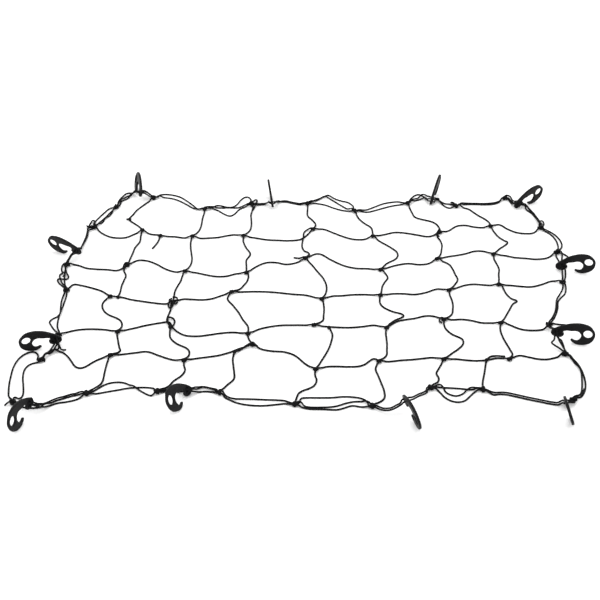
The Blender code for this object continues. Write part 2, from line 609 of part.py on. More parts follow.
def border_loop(stations, lane, rest):
    """Closed centre line of one border cord through every station."""
    loop = []
    for index, station in enumerate(stations):
        following = stations[(index + 1) % len(stations)]
        ways = BORDER_WAYS[index][0 if lane == "outer" else 1]
        side = sum(index >= end for end in SIDE_ENDS)
        along_rows = side % 2 == 0
        start = station[lane] + station["along"] * station["straight"]
        end = following[lane] - following["along"] * following["straight"]
        under = [Vector((point.x, point.y, rest)) for point in (start, end)]
        vias = readings_to_points(in_picture(under[0]), in_picture(under[1]), ways, along_rows)
        path = lying_path(start, vias, end, rest, station["along"], following["along"],
                          as_plan=ways != vias and not along_rows)
        loop.extend(path)
    return loop


def make_border(stations, material):
    """The border: two cords all round, tied together at the corners, with third cords."""
    flat_rest = CORD_CORNER_RADIUS * math.cos(math.pi / CORD_SIDES)
    outer = bmesh.new()
    add_tube(outer, border_loop(stations, "outer", flat_rest), closed=True)
    border = make_object("border_cord", outer, material)
    inner = bmesh.new()
    add_tube(inner, border_loop(stations, "inner", CORD_CORNER_RADIUS), closed=True, edge_down=True)
    add_boolean(border, make_object("border_inner", inner, None, cutter=True), "UNION")
    by_name = {station["name"]: station for station in stations}
    corners = bmesh.new()
    for name in CORNERS:
        station = by_name[name]
        add_knot(corners, station["centre"], station["along"], 0.016, 0.0155, 2 * EDGE_KNOT_AXIS)
    add_boolean(border, make_object("border_corners", corners, None, cutter=True), "UNION")
    extras = bmesh.new()
    for first, last, vias in BORDER_THIRDS:
        start, end = by_name[first], by_name[last]
        leave = start["inner"] + start["along"] * (EDGE_STRAIGHT + 0.004)
        arrive = end["inner"] - end["along"] * (EDGE_STRAIGHT + 0.004)
        add_tube(extras, lying_path(leave, vias, arrive, flat_rest + LOOP_RAISE))
    for points in BORDER_LOOPS:
        start, end = on_floor(*points[0], flat_rest), on_floor(*points[-1], flat_rest)
        add_tube(extras, lying_path(start, points[1:-1], end, flat_rest + LOOP_RAISE))
    for points in BORDER_TAILS:
        start = on_floor(*points[0], EDGE_KNOT_AXIS)
        end = on_floor(*points[-1], flat_rest)
        add_tube(extras, lying_path(start, points[1:-1], end, flat_rest))
    add_boolean(border, make_object("border_thirds", extras, None, cutter=True), "UNION")
    return border


def make_net(stations, material):
    """The net: five cross cords and seven lengthwise cords, knotted where they meet."""
    rest = CORD_CORNER_RADIUS * math.cos(math.pi / CORD_SIDES)
    by_name = {station["name"]: station for station in stations}
    knots = bmesh.new()
    cords = bmesh.new()

    def knot_place(name, side_knot=None):
        picture_point = SIDE_KNOTS[side_knot] if side_knot else knot_px(name)
        return on_floor(*picture_point, KNOT_HEIGHT / 2)

    def cord_end(name, towards, side_knot=None):
        """Where a cord ends in a knot, and its direction there, seen from the knot."""
        if name in by_name:
            station = by_name[name]
            inward = Vector((station["along"].y, -station["along"].x, 0.0))
            return station["centre"] + inward * NET_END_FROM_AXIS, inward
        centre = knot_place(name, side_knot)
        heading = towards - centre
        heading.z = 0.0
        heading.normalize()
        return centre + heading * KNOT_INSET, heading

    def add_span(first, last, readings, along_rows, first_side=None, last_side=None):
        first_px = SIDE_KNOTS[first_side] if first_side else knot_px(first)
        last_px = SIDE_KNOTS[last_side] if last_side else knot_px(last)
        vias = readings_to_points(first_px, last_px, readings, along_rows)
        start, away = cord_end(first, on_floor(*vias[0]), first_side)
        end, back = cord_end(last, on_floor(*vias[-1]), last_side)
        add_tube(cords, lying_path(start, vias, end, rest, away, -back))

    for row, spans in CROSS_CORDS.items():
        for column, readings in enumerate(spans):
            add_span(f"{row}{column}", f"{row}{column + 1}", readings, along_rows=True)
    for column, spans in LENGTHWISE_CORDS.items():
        for index, readings in enumerate(spans):
            above, below = f"{ROWS[index]}{column}", f"{ROWS[index + 1]}{column}"
            add_span(above, below, readings, False, SPAN_STARTS.get(above), SPAN_ENDS.get(above))
    for row in CROSS_CORDS:
        for column in range(1, LAST_COLUMN):
            left = on_floor(*knot_px(f"{row}{column - 1}"))
            right = on_floor(*knot_px(f"{row}{column + 1}"))
            add_knot(knots, knot_place(f"{row}{column}"), right - left,
                     KNOT_LENGTH, KNOT_LENGTH, KNOT_HEIGHT)
    for name in SIDE_KNOTS:
        add_knot(knots, knot_place(name, name), Vector((1.0, 0.0, 0.0)),
                 KNOT_LENGTH, KNOT_LENGTH, KNOT_HEIGHT)
    for station in stations:
        if isinstance(station["name"], str) and station["name"] not in CORNERS:
            add_edge_knot(knots, station["centre"], station["along"])
    net = make_object("net", cords, material)
    add_boolean(net, make_object("net_knots", knots, None, cutter=True), "UNION")
    extras = bmesh.new()
    for points in NET_LOOPS:
        start = on_floor(*points[0], KNOT_HEIGHT / 2)
        end = on_floor(*points[-1], KNOT_HEIGHT / 2)
        add_tube(extras, lying_path(start, points[1:-1], end, rest + LOOP_RAISE))
    for points in NET_TAILS:
        start = on_floor(*points[0], KNOT_HEIGHT / 2)
        end = on_floor(*points[-1], rest)
        add_tube(extras, lying_path(start, points[1:-1], end, rest))
    add_boolean(net, make_object("net_extras", extras, None, cutter=True), "UNION")
    return net


def main():
    clear_scene()
    cord = make_material("black_cord", (0.018, 0.018, 0.020), 0.75)
    plastic = make_material("black_plastic", (0.022, 0.022, 0.024), 0.45)
    hook_places = make_hooks(plastic)
    stations = border_stations(hook_places)
    make_border(stations, cord)
    make_net(stations, cord)


main()
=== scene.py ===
"""The cargo net as it looks: braided elastic cords, wound knots and moulded hooks on a pale floor.

Metres, +Z up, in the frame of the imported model. The knots and bends are placed where one
photograph shows them: each is read as a pixel of that picture, and on_floor() turns it into a
point of the floor.
"""

import math

import bmesh
import bpy
from mathutils import Matrix, Vector
from mathutils.geometry import interpolate_bezier
from mathutils.kdtree import KDTree


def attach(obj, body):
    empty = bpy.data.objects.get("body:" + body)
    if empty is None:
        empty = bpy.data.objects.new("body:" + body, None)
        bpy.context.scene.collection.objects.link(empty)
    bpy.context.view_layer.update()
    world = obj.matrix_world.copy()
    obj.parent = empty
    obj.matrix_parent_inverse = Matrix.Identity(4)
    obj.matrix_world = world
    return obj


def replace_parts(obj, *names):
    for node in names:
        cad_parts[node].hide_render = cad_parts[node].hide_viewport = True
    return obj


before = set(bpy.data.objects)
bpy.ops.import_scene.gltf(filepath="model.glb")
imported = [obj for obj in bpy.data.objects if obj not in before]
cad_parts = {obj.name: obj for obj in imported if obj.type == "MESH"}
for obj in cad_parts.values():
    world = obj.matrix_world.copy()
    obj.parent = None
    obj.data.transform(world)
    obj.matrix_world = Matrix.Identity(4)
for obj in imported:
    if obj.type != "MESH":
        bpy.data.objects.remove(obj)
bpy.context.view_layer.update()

# The view in which the knots were read: a square picture, looking along +Y and down.
# MIDDLE_X and MIDDLE_Y are the floor point at its middle, counted from the net's own middle.
VIEW_ELEVATION = math.radians(33.5)
VIEW_DISTANCE = 2.905
FOCAL_PX = 1230.0
PICTURE_MIDDLE_PX = 300.0
MIDDLE_X = -0.04305
MIDDLE_Y = -0.03278
SENSOR_WIDTH = 36.0

# Cords. Their centre lies one radius over the floor.
CORD_RADIUS = 0.0022
BORDER_CORD_RADIUS = 0.002
LOOSE_TURN_SHARE = 0.98
CORD_SIDES = 10
CORD_STEP = 0.0025
CURVE_POINTS = 13
NEARLY_UPRIGHT = 0.1
# A cord's end: two rings at these angles of its rounding, and how far the rounding reaches.
END_RINGS = (35, 65)
END_REACH = 0.7
BRAID_PITCH = 0.0126
BRAID_STRANDS = 8

# How a cord rises from the floor to a knot or a hook, and over a cord that it crosses.
KNOT_RISE = 0.018
HOOK_SLOPE = 2.2
LONGEST_RISE_SHARE = 0.48
HANGING_SHARE = 0.4
CROSSING_REACH = 0.014
CROSSING_SHARE = 0.94
KNOT_CLEARANCE = 0.0085

# Knots. Cord that is pulled tight in a knot is thinner.
KNOT_MIDDLE = 0.0052
KNOT_INSET = 0.003
TIGHT_RADIUS = 0.00175
TURN_STEPS = 24
LACING_STEPS = 48
# An overhand knot and the turns that draw it together. Turns: direction of their width, shift
# along the knot and up, half width, half height and slant.
CROSSING_KNOT = {
    "reach": 0.0049, "rise": 0.0019, "radius": TIGHT_RADIUS,
    "turns": [("side", 0.0, 0.0, 0.0043, 0.0033, 0.0014),
              ("along", 0.0, 0.0002, 0.0046, 0.003, -0.001)],
}
CORNER_KNOT = {
    "reach": 0.006, "rise": 0.0022, "radius": 0.00209,
    "turns": [("side", -0.0026, 0.0, 0.0052, 0.0033, 0.0012),
              ("side", 0.0026, 0.0, 0.0052, 0.0033, -0.001),
              ("along", 0.0, 0.0, 0.0056, 0.0032, 0.0011)],
}
SMALL_TIE_SIZE = 0.55

# Edge knots: turns round the two border cords that lie side by side, and a hitch.
EDGE_KNOT_AXIS = 0.00517
EDGE_TURNS = 2
EDGE_TURN_RADII = (0.0057, 0.0034)
EDGE_TURN_PITCH = 0.0031
EDGE_CORD_RADIUS = 0.0016
EDGE_HITCH = {"inward": 0.0072, "radii": (0.0029, 0.0027), "slant": 0.0008}
BORDER_SPACING = 0.0047
NET_END_FROM_AXIS = 0.00625
BORDER_SQUARENESS = 0.25
# How far the border cords go on straight on both sides of a knot or a hook.
STRAIGHT = 0.0045

# Hooks. HOOK_DRAWN is the length and height of the drawn outline.
HOOK_LENGTH = 0.0957
HOOK_HEIGHT = 0.0546
HOOK_THICKNESS = 0.006
HOOK_ROUNDING = 0.0019
HOOK_GROWTH = 0.0006
HOOK_DRAWN = (101.8, 56.0)
CORD_HOLE_RADIUS = 0.0034
RING_POINTS = 8
# Steps of the rounded edge, and between the drawn points of each line.
HOOK_STEPS = {"edge": 3, "outline": 8, "eye": 6, "hole": 4}
MERGE_DISTANCE = 0.00001

# Room.
FLOOR_HALF_SIZE = 12.0
FLOOR_LEVEL = -0.0002
SKY_STRENGTH = 1.2
LAMP_SIZE = 5.0
# Lamps: name, place and power.
LAMPS = [("key_lamp", (-1.6, -1.2, 3.4), 70.0), ("fill_lamp", (2.2, 1.4, 3.0), 40.0)]

# Shades from the darkest to the lightest: place on the ramp, colour.
# The cord's darker shades are partly painted shade: they fall in the grooves between the braid's strands.
CORD_SHADES = [(0.15, (0.002, 0.002, 0.0023)), (0.55, (0.005, 0.005, 0.0055)),
               (0.95, (0.011, 0.011, 0.012))]
PLASTIC_SHADES = [(0.3, (0.003, 0.003, 0.0034)), (0.7, (0.0065, 0.0065, 0.0072))]
FLOOR_SHADES = [(0.3, (0.92, 0.92, 0.92)), (0.7, (0.94, 0.94, 0.94))]

# Knots: picture columns and rows, from the far edge (a) to the near edge (g), left to right.
KNOTS = {
    "a": [(116, 207), (154.5, 197.5), (205, 208.5), (252, 204), (307.5, 203), (355, 210.5),
          (407.5, 203), (456, 205.5), (505, 198)],
    "b": [(94, 227), (142.5, 230), (192.5, 236), (243.5, 235.5), (313, 229), (373, 236),
          (440, 232), (490.5, 226), (541.2, 227.5)],
    "c": [(66.5, 264.5), (127.5, 265), (185, 271), (246.5, 272.5), (305.5, 258), (380.5, 269.5),
          (437, 258.7), (493.5, 254), (557.5, 252)],
    "d": [(66, 290), (110.3, 296.3), (173, 301.5), (231.8, 291.7), (322, 298.8), (380.5, 295),
          (449, 290), (498.7, 284.3), (563, 282)],
    "e": [(58, 334.5), (117.5, 331.5), (171, 327), (248, 333.5), (314, 324.8), (386.7, 327.5),
          (444, 319.3), (500.7, 322.8), (549.7, 324)],
    "f": [(41.5, 359.5), (110.5, 355), (184, 360), (252.7, 344.7), (315.7, 369), (379, 361),
          (444, 359), (509.5, 359), (565.8, 354)],
    "g": [(12.3, 401.5), (86.3, 393.5), (157, 391.5), (219.5, 392.5), (295, 404), (372, 406.3),
          (430.7, 387.8), (483, 389.6), (574, 399.5)],
}
ROWS = "abcdefg"
LAST_COLUMN = 8

# Ties beside the crossings, mostly of a lengthwise cord to a cross cord.
TIES = {"a1_tie": (129.9, 219.4), "b1_tie": (160.3, 235.6), "d1_tie": (118, 297),
        "e4_tie": (329, 327.5), "f3_tie": (234.5, 352), "f7_tie": (486.5, 360)}
LARGE_TIE = "b1_tie"
# Lengthwise spans, named by the knot above, that start or end at a tie.
SPAN_STARTS = {"e4": "e4_tie", "f3": "f3_tie", "f7": "f7_tie"}
SPAN_ENDS = {"c1": "d1_tie"}
TIE_DIRECTION = Vector((1.0, 0.3, 0.0))

# Cross cords: picture rows of the cord at even steps from each knot to the next, left to right,
# or a list of its picture points.
CROSS_CORDS = {
    "b": [(233.3, 236.9, 238, 237.4, 234.2), (234.2, 235, 236.4, 236.8, 237.9),
          (238.3, 238, 237.4, 235.8, 234.8), (237.9, 239.7, 240.3, 240.6, 239),
          (229.2, 232.7, 236.5, 239.2, 239.5), (234.6, 232.4, 233.2, 235, 236.5),
          (230.8, 226.1, 225.3, 226.9, 227.6), (224.7, 229, 232.3, 233.5, 233.1)],
    "c": [(265, 268.2, 269.2, 269.6, 270.4), (260.6, 260.7, 264, 269.1, 271.9),
          (272.6, 274.7, 276.4, 276.2, 273.8), (266.6, 262.7, 262.5, 264.3, 262.9),
          (253.8, 259.6, 265.3, 268.2, 268.7), (267, 264.6, 263.5, 264.5, 263.8),
          (256.9, 255.5, 253.7, 251.2, 251.4), (255.5, 257.5, 258.3, 259.2, 258)],
    "d": [(284.6, 285.3, 287, 289, 291.7),
          [(120.8, 297.1), (131.2, 299.6), (141.7, 301.2), (152.1, 302.7), (162.5, 303.8), (168, 303.8)],
          (299.2, 299.4, 299.8, 298.6, 295.4), (291.7, 291.6, 292.5, 294.1, 295.4),
          (296.2, 295.7, 294.8, 294.5, 294.8), (293.8, 293.7, 294.4, 292.4, 289),
          (287.7, 285.1, 284.2, 284.8, 285.3), (285.3, 286.3, 286.8, 284.5, 281.1)],
    "e": [(332, 329.9, 329.1, 329.2, 330),
          [(126.4, 329.9), (135.3, 327.9), (144.3, 325.7), (153.2, 324), (160, 322.9), (165.5, 322.1),
           (170, 322.8)],
          (335, 336.2, 334.8, 333, 332.4), (329.2, 326.7, 325.3, 325.1, 325.1),
          (326.5, 327.3, 327.5, 326.6, 325.3), (321.8, 319.6, 318.2, 316, 316.4),
          (319.7, 319.4, 320.7, 322.8, 323),
          [(504, 322.8), (510, 325), (517.5, 328.1), (524, 329.8), (533.8, 330.4), (542.5, 329.7),
           (547, 328.6)]],
    "f": [[(44.8, 357.6), (48, 355.3), (53, 352.9), (58, 351.7), (62.5, 352.5), (67.5, 356.3),
           (71.3, 361.3), (75, 366.3), (79.4, 368.1), (85, 366.9), (92.5, 362.5), (100, 358.8)],
          (354.3, 352.8, 351.7, 355.8, 359.6), (358.6, 357.1, 355.4, 352.3, 348),
          (349.6, 351.2, 351.9, 355.4, 363.8),
          [(326.2, 366.8), (336.8, 366.4), (347.4, 366.7), (357.9, 366.4), (364.5, 364.5), (369.5, 361),
           (373.5, 359)],
          (361.5, 360.3, 359.6, 358.5, 357.6), (359, 360.1, 360.7, 359.9, 358.1),
          (355.6, 357, 358.9, 359.3, 357.4)],
}

# Lengthwise cords: picture columns at even steps down from each knot to the next, or points.
LENGTHWISE_CORDS = {
    1: [[(151, 200.3), (143.9, 205), (137.2, 210), (132.8, 215), (129.2, 219.4), (135, 223.9),
         (139.6, 227)],
        (140.8, 139.9, 135.2, 132.7, 130), (124, 125.9, 123.7, 121.5, 120.3),
        (103.4, 102.5, 107.2, 119.5, 122), (117.1, 117.8, 118.4, 119.2, 119.8),
        (107.6, 105.7, 104.2, 102.7, 98.4)],
    2: [(204.3, 202.7, 201.9, 200.9, 198.5), (190.8, 190.7, 191.4, 192, 190.5),
        (182.4, 180.6, 177.5, 174.9, 174), (171, 170.6, 168.8, 167.2, 167.3),
        (169.8, 170.5, 176.5, 187.6, 189.2), (183.9, 185, 181.2, 173.5, 168.5)],
    3: [(253, 251, 251.3, 251.4, 250), (243.4, 246.2, 250.3, 246.4, 246.4),
        (248.5, 248, 246.6, 243.7, 240.6), (227.5, 233.2, 238.7, 242.8, 248), (247.8, 248.8, 251),
        (232.8, 233.3, 234.1, 233.8, 226.3)],
    4: [(307.7, 307.4, 307.8, 312.5, 315.7),
        [(306.5, 230.3), (303.7, 233.5), (303.6, 238), (302.2, 243), (302.3, 247.5), (304.5, 251),
         (308.3, 252.6), (309.3, 255)],
        (311.8, 317.5, 323.3, 326.3, 326.2), (323.4, 324, 324, 323.5, 322.8),
        (332.4, 331.3, 328.9, 325.1, 320.6), (315, 316.6, 313, 299.8, 296.5)],
    5: [(356.3, 359.2, 364.2, 371, 372.5), (380.2, 390.2, 397.3, 396.3, 386.2),
        (385.5, 387.7, 384.6, 382.3, 381.6), (379.8, 380.1, 383.5, 391.8, 403.5, 397.7, 392.2),
        (385.8, 386.5, 387, 386.9, 386.4), (375.6, 378.4, 381.5, 384.2, 384)],
    6: [(409.5, 412, 415.7, 433.3, 438.8), (437.4, 440.4, 442, 441.5, 440.6),
        (448.4, 452.7, 455.2, 457.7, 454.6), (449.7, 451.8, 452.9, 452.8, 451.7),
        (443.9, 446.2, 452, 462.2, 463, 458.2, 451), (441.6, 438.8, 436.4, 438.8, 437.3)],
    7: [(468, 473.5, 478.7, 485, 489.2),
        [(493.9, 231.7), (498.3, 236.7), (503.9, 240.4), (507.6, 242.3), (504.8, 245.4), (499.4, 248.9)],
        (494, 496.8, 499.1, 498.7, 499),
        [(502.5, 287.5), (506.3, 293.8), (511.3, 298.6), (516.9, 301), (513, 303.8), (510, 308.8),
         (505, 317.5)],
        [(500.2, 328), (501.2, 333), (503.8, 339), (507, 344.5), (510.3, 350), (512.5, 354.5)],
        (485.6, 484.9, 484.1, 483.1, 482.6)],
}

# Doubled turns and free tails of the net cords: points of the picture.
NET_LOOPS = [
    [(171.5, 298.5), (169.6, 301), (170.2, 304.2), (173.3, 305.2), (176.5, 303.9), (177.4, 301),
     (176, 298.4), (173, 297.6)],
    [(168, 324.5), (168.3, 319.8), (171.5, 317.7), (174.5, 320.3), (174.2, 323.8), (172.5, 326.5)],
    [(252.7, 344.7), (247.5, 346.8), (241.5, 349.5), (234.5, 352)],
    [(172, 303.8), (168.9, 304.8), (168.6, 307), (170.5, 309.3), (172.5, 307.2), (174, 304.5)],
    [(440, 232), (437.5, 234), (436.5, 236), (439, 237)],
    [(127.5, 265), (124.5, 266.5), (123.5, 269.5)],
    [(444, 319.3), (440.5, 319.5), (439.5, 321.5), (441.5, 322.8)],
]
NET_TAILS = [
    [(160.3, 235.6), (157.5, 242.5), (152.5, 248.5)],
    [(129.9, 219.6), (126.8, 219.2)],
    [(305.5, 258), (294, 257.7)],
    [(252.7, 344.7), (257.5, 348)],
    [(486.5, 360), (489.5, 356.8), (492.5, 356), (496, 356.3), (500.5, 357.6), (504.5, 358.6)],
]

# Border stations in order, clockwise from the far left corner: knots by name, hooks by number.
BORDER = ["a0", 1, "a1", "a2", "a3", 2, "a4", "a5", "a6", 3, "a7", "a8", 4, "b8", "c8", 5, "d8",
          "e8", 6, "f8", "g8", 7, "g7", "g6", 8, "g5", "g4", "g3", 9, "g2", "g1", 10, "g0", "f0",
          11, "e0", "d0", "c0", 12, "b0"]
CORNERS = ("a0", "a8", "g4", "g0")
# Knots in which the two border cords change places.
CROSSED_KNOTS = ("g2",)
LANES = ("outer", "inner")

# Border cords from each station to the next, (outer, inner), as points of the picture.
BORDER_WAYS = [
    ([(118.5, 201.5), (122.5, 196.8), (128, 193.2), (134, 191.9)],
     [(122, 201.2), (127, 199), (131, 196.5), (135, 193.6)]),
    ([(145, 191.9), (149.5, 194)], [(145, 193.8), (149, 196)]),
    ([(159.5, 195.3), (165, 194.4), (172, 195), (180, 197), (187, 201), (193, 205.3), (198, 209)],
     [(160, 197.3), (166, 197.8), (173, 198.8), (180, 201.2), (187, 204.8), (193, 208.2), (199, 210)]),
    ([(213, 207), (217, 205.6), (221, 205.8), (227, 207.2), (233, 207), (237, 204.5), (241, 200),
      (245, 197.3), (248.5, 197.3), (251, 200.2)],
     [(212, 209), (218, 210.6), (224, 214), (230, 216), (234.5, 214), (239, 209.8), (245, 207)]),
    ([(258, 204), (263, 203.5), (268, 202.4)], [(258, 205.1), (263, 204.7), (268, 203.6)]),
    ([(278, 201), (285, 200.8), (292, 202.2), (300, 203.5)],
     [(278, 202.2), (285, 201.9), (292, 203.2), (300, 204.7)]),
    ([(311.7, 201.4), (318.3, 199), (324, 196.6), (327.8, 195.2), (330.6, 196.3), (335, 198.9),
      (341.7, 201.1), (347.2, 202.2), (351, 204.3), (353.5, 207)],
     [(314, 203.4), (325, 205), (332.8, 207.8), (341.7, 210.3), (349, 211.4)]),
    ([(360, 210), (366.1, 209.9), (373.9, 207.2), (382.8, 203.9), (391.7, 202.2), (399.4, 201.9)],
     [(360, 211.5), (367.2, 212.2), (373.9, 210.8), (382.8, 208.3), (391.7, 206.1), (399.4, 204.9)]),
    ([(410, 199.8), (413.9, 196.1), (418.6, 194.6), (423.4, 196.6)],
     [(412, 201.6), (417.2, 200.2), (424, 199.2)]),
    ([(437, 199.3), (441, 201.8), (445, 203.7), (450, 204.3)],
     [(437, 200.6), (441, 203.4), (445, 206.5), (449.4, 208.2), (453, 207.6)]),
    ([(461, 203), (466, 203.1), (475, 203.3), (485, 203.4), (493, 202.8), (499, 201.3)],
     [(461.5, 204.9), (467, 204.5), (475, 204.4), (485, 204.7), (493, 204.2), (499.3, 202.4)]),
    ([(509, 199.3)], [(509, 200.8)]),
    ([(524.5, 205), (529.4, 208.9), (533.9, 213.9), (537.6, 218.5), (540.5, 223)],
     [(523, 206.5), (527, 210.3), (531.5, 213.3), (536, 218.5), (539.2, 223.5)]),
    ([(547.2, 230.6), (551, 232.4), (555.3, 235.2), (559.4, 239.4), (561.7, 243.9), (561.4, 248)],
     [(545.6, 231.6), (549, 233.4), (553, 236.6), (556.1, 240.8), (557.8, 245), (558, 248.5)]),
    ([(562.5, 253.8), (567.5, 256.5), (568.3, 260), (565, 263)], [(556, 254.5), (556.4, 257), (559, 261)]),
    ([(564.6, 271.5), (565.4, 276.5)], [(561.3, 271.5), (562.6, 276.5)]),
    ([(565.2, 285), (565.9, 289), (564.8, 294), (560.8, 298), (558, 302), (557.8, 307), (556.8, 312),
      (554.5, 317.5)],
     [(563, 285.5), (562.3, 289.5), (560, 294), (557.3, 298.3), (556.3, 302.5), (556, 307.5), (555, 312.5),
      (552.8, 317.5)]),
    ([(553.8, 328.5)], [(551.8, 330.5)]),
    ([(558.8, 339.5), (562, 346)], [(554.3, 338.8), (551.6, 342), (554, 345.3), (560, 348.8)]),
    ([(569.5, 355.5), (573.8, 359.6), (577.3, 363.4), (580.3, 367.8), (583.2, 374), (585, 380),
      (585.6, 386.3), (584.4, 392), (581, 397)],
     [(569.5, 357.5), (575.5, 364), (579.5, 369), (581.5, 374.5), (582, 381.3), (582, 387.5), (581.2, 393),
      (578.3, 396.4)]),
    ([], []),
    ([(563, 404.3), (557, 404.8), (548, 403.4), (538, 401.4), (528, 399.4), (517, 396.9), (506, 394.6),
      (499, 394.3), (494, 394.9), (489, 392.9)],
     [(562, 403.4), (556.5, 404), (548, 402.8), (538, 400.8), (528, 398.6), (517, 396.1), (506, 393.8),
      (498, 392.9), (490, 391.6)]),
    ([(478.5, 390.6), (475, 392), (470, 396.3), (465, 400.6), (458.8, 402.1), (451.3, 400.9), (445, 397.5),
      (440, 392.5), (436, 389.3)],
     [(477, 389.9), (470, 389.6), (458.8, 388.5), (446.3, 387.8), (438, 387.4)]),
    ([(426.5, 392.6), (420, 396.2), (413.5, 399.8)], [(426, 391.3), (419.6, 395), (413, 398.4)]),
    ([(401.3, 404.8), (396.5, 408), (390, 410.6), (383, 410), (377.5, 408)],
     [(400.3, 403), (396, 405.8), (390, 409.3), (383.3, 408.8), (378, 406.8)]),
    ([(368, 407.6), (360, 406.8), (352.2, 405.8), (343.3, 408.3), (336.7, 409.8), (321.1, 409.2),
      (310, 409), (302, 407.6)],
     [(367.3, 401.8), (362.2, 398.7), (354.4, 397.2), (343.3, 396.7), (332.2, 397.6), (321.1, 397.8),
      (305.6, 397.8), (301, 398.6)]),
    ([(286, 403.8), (277.8, 404.4), (267.8, 405.4), (257.8, 405.7), (245.6, 404.7), (236.7, 402.8),
      (230.5, 400.3), (224.6, 397.4)],
     [(285.6, 400.9), (276.7, 400.1), (265.6, 399.7), (251.1, 399.1), (236.7, 398.9), (230.2, 399.1),
      (224.4, 396.2)]),
    ([(213, 392.3), (205, 391.5), (197, 391.2)],
     [(214.5, 390.2), (210, 388), (203.3, 386.9), (197, 387.9)]),
    ([(176.3, 391.5), (167.7, 391)], [(177.5, 389.5), (168.4, 389.3)]),
    ([(154, 388.7), (148.9, 387.7), (142.2, 387.4), (133.3, 387.7), (126.7, 388.4), (117.8, 390),
      (107.8, 391.7), (98.9, 393.3), (92, 394.3)],
     [(155, 394.2), (151.5, 395.7), (148, 394.9), (144.4, 393.1), (140, 390.7), (135.6, 388.5),
      (131.1, 386.1), (125.6, 383.3), (118.9, 382.2), (110, 383.1), (104.4, 385), (98.5, 388.2),
      (92.2, 391.9)]),
    ([(81, 397.7), (75, 400), (66, 402), (57, 403.3), (48, 405.1), (40, 406.5)],
     [(79, 394.8), (71, 396.3), (63, 398.7), (55, 401.1), (47, 403.2), (38.5, 404.8)]),
    ([(19.4, 404.5)], [(21.5, 398.8)]),
    ([(8.8, 396.5), (8.5, 391.5), (9.2, 384), (10.8, 376.3), (13.3, 367.5), (17.5, 360.3), (23.1, 355.2),
      (28.8, 352.6), (33.1, 352), (36.6, 353.2), (38.2, 356.5), (37.3, 360)],
     [(14.5, 397.3), (19, 398.6), (22.2, 396.3), (23.3, 391.5), (23.2, 385), (22.8, 379.5), (23.3, 373.5),
      (25.3, 368.5), (29, 365.1), (34, 363.1)]),
    ([(46.9, 353.1), (50.5, 349)], [(50, 353.3), (55, 348.8)]),
    ([], []),
    ([(53.5, 329), (50.2, 324), (49.6, 321.8), (52.5, 319), (57, 316.8), (60, 313.5), (60.6, 308),
      (61.3, 302), (63, 296.5)],
     [(57.4, 327), (58, 320.5), (59.8, 315.5), (61.9, 310), (63.8, 303.8), (66, 297.5)]),
    ([(63, 286.5), (60, 284.2), (57.6, 281), (58, 279.2), (61, 278.9), (65, 279.4), (67.9, 278.6),
      (68.4, 276), (66.9, 273.3), (65.8, 270)],
     [(65, 285), (64.6, 281), (64.8, 276), (65.3, 272), (66.3, 269)]),
    ([(70.8, 256.5)], [(71.9, 257)]),
    ([(80.4, 245.3), (84.4, 240.6), (86.5, 235.3), (87.6, 230.3), (88.5, 227.8)],
     [(81.6, 246), (85.5, 241.3), (87.8, 235.9), (89, 231)]),
    ([(95.5, 221.5), (99.5, 217.3), (104.5, 212.7), (109.5, 208.8)],
     [(98.5, 223.3), (102.5, 220), (106.5, 216.5), (111, 212)]),
]

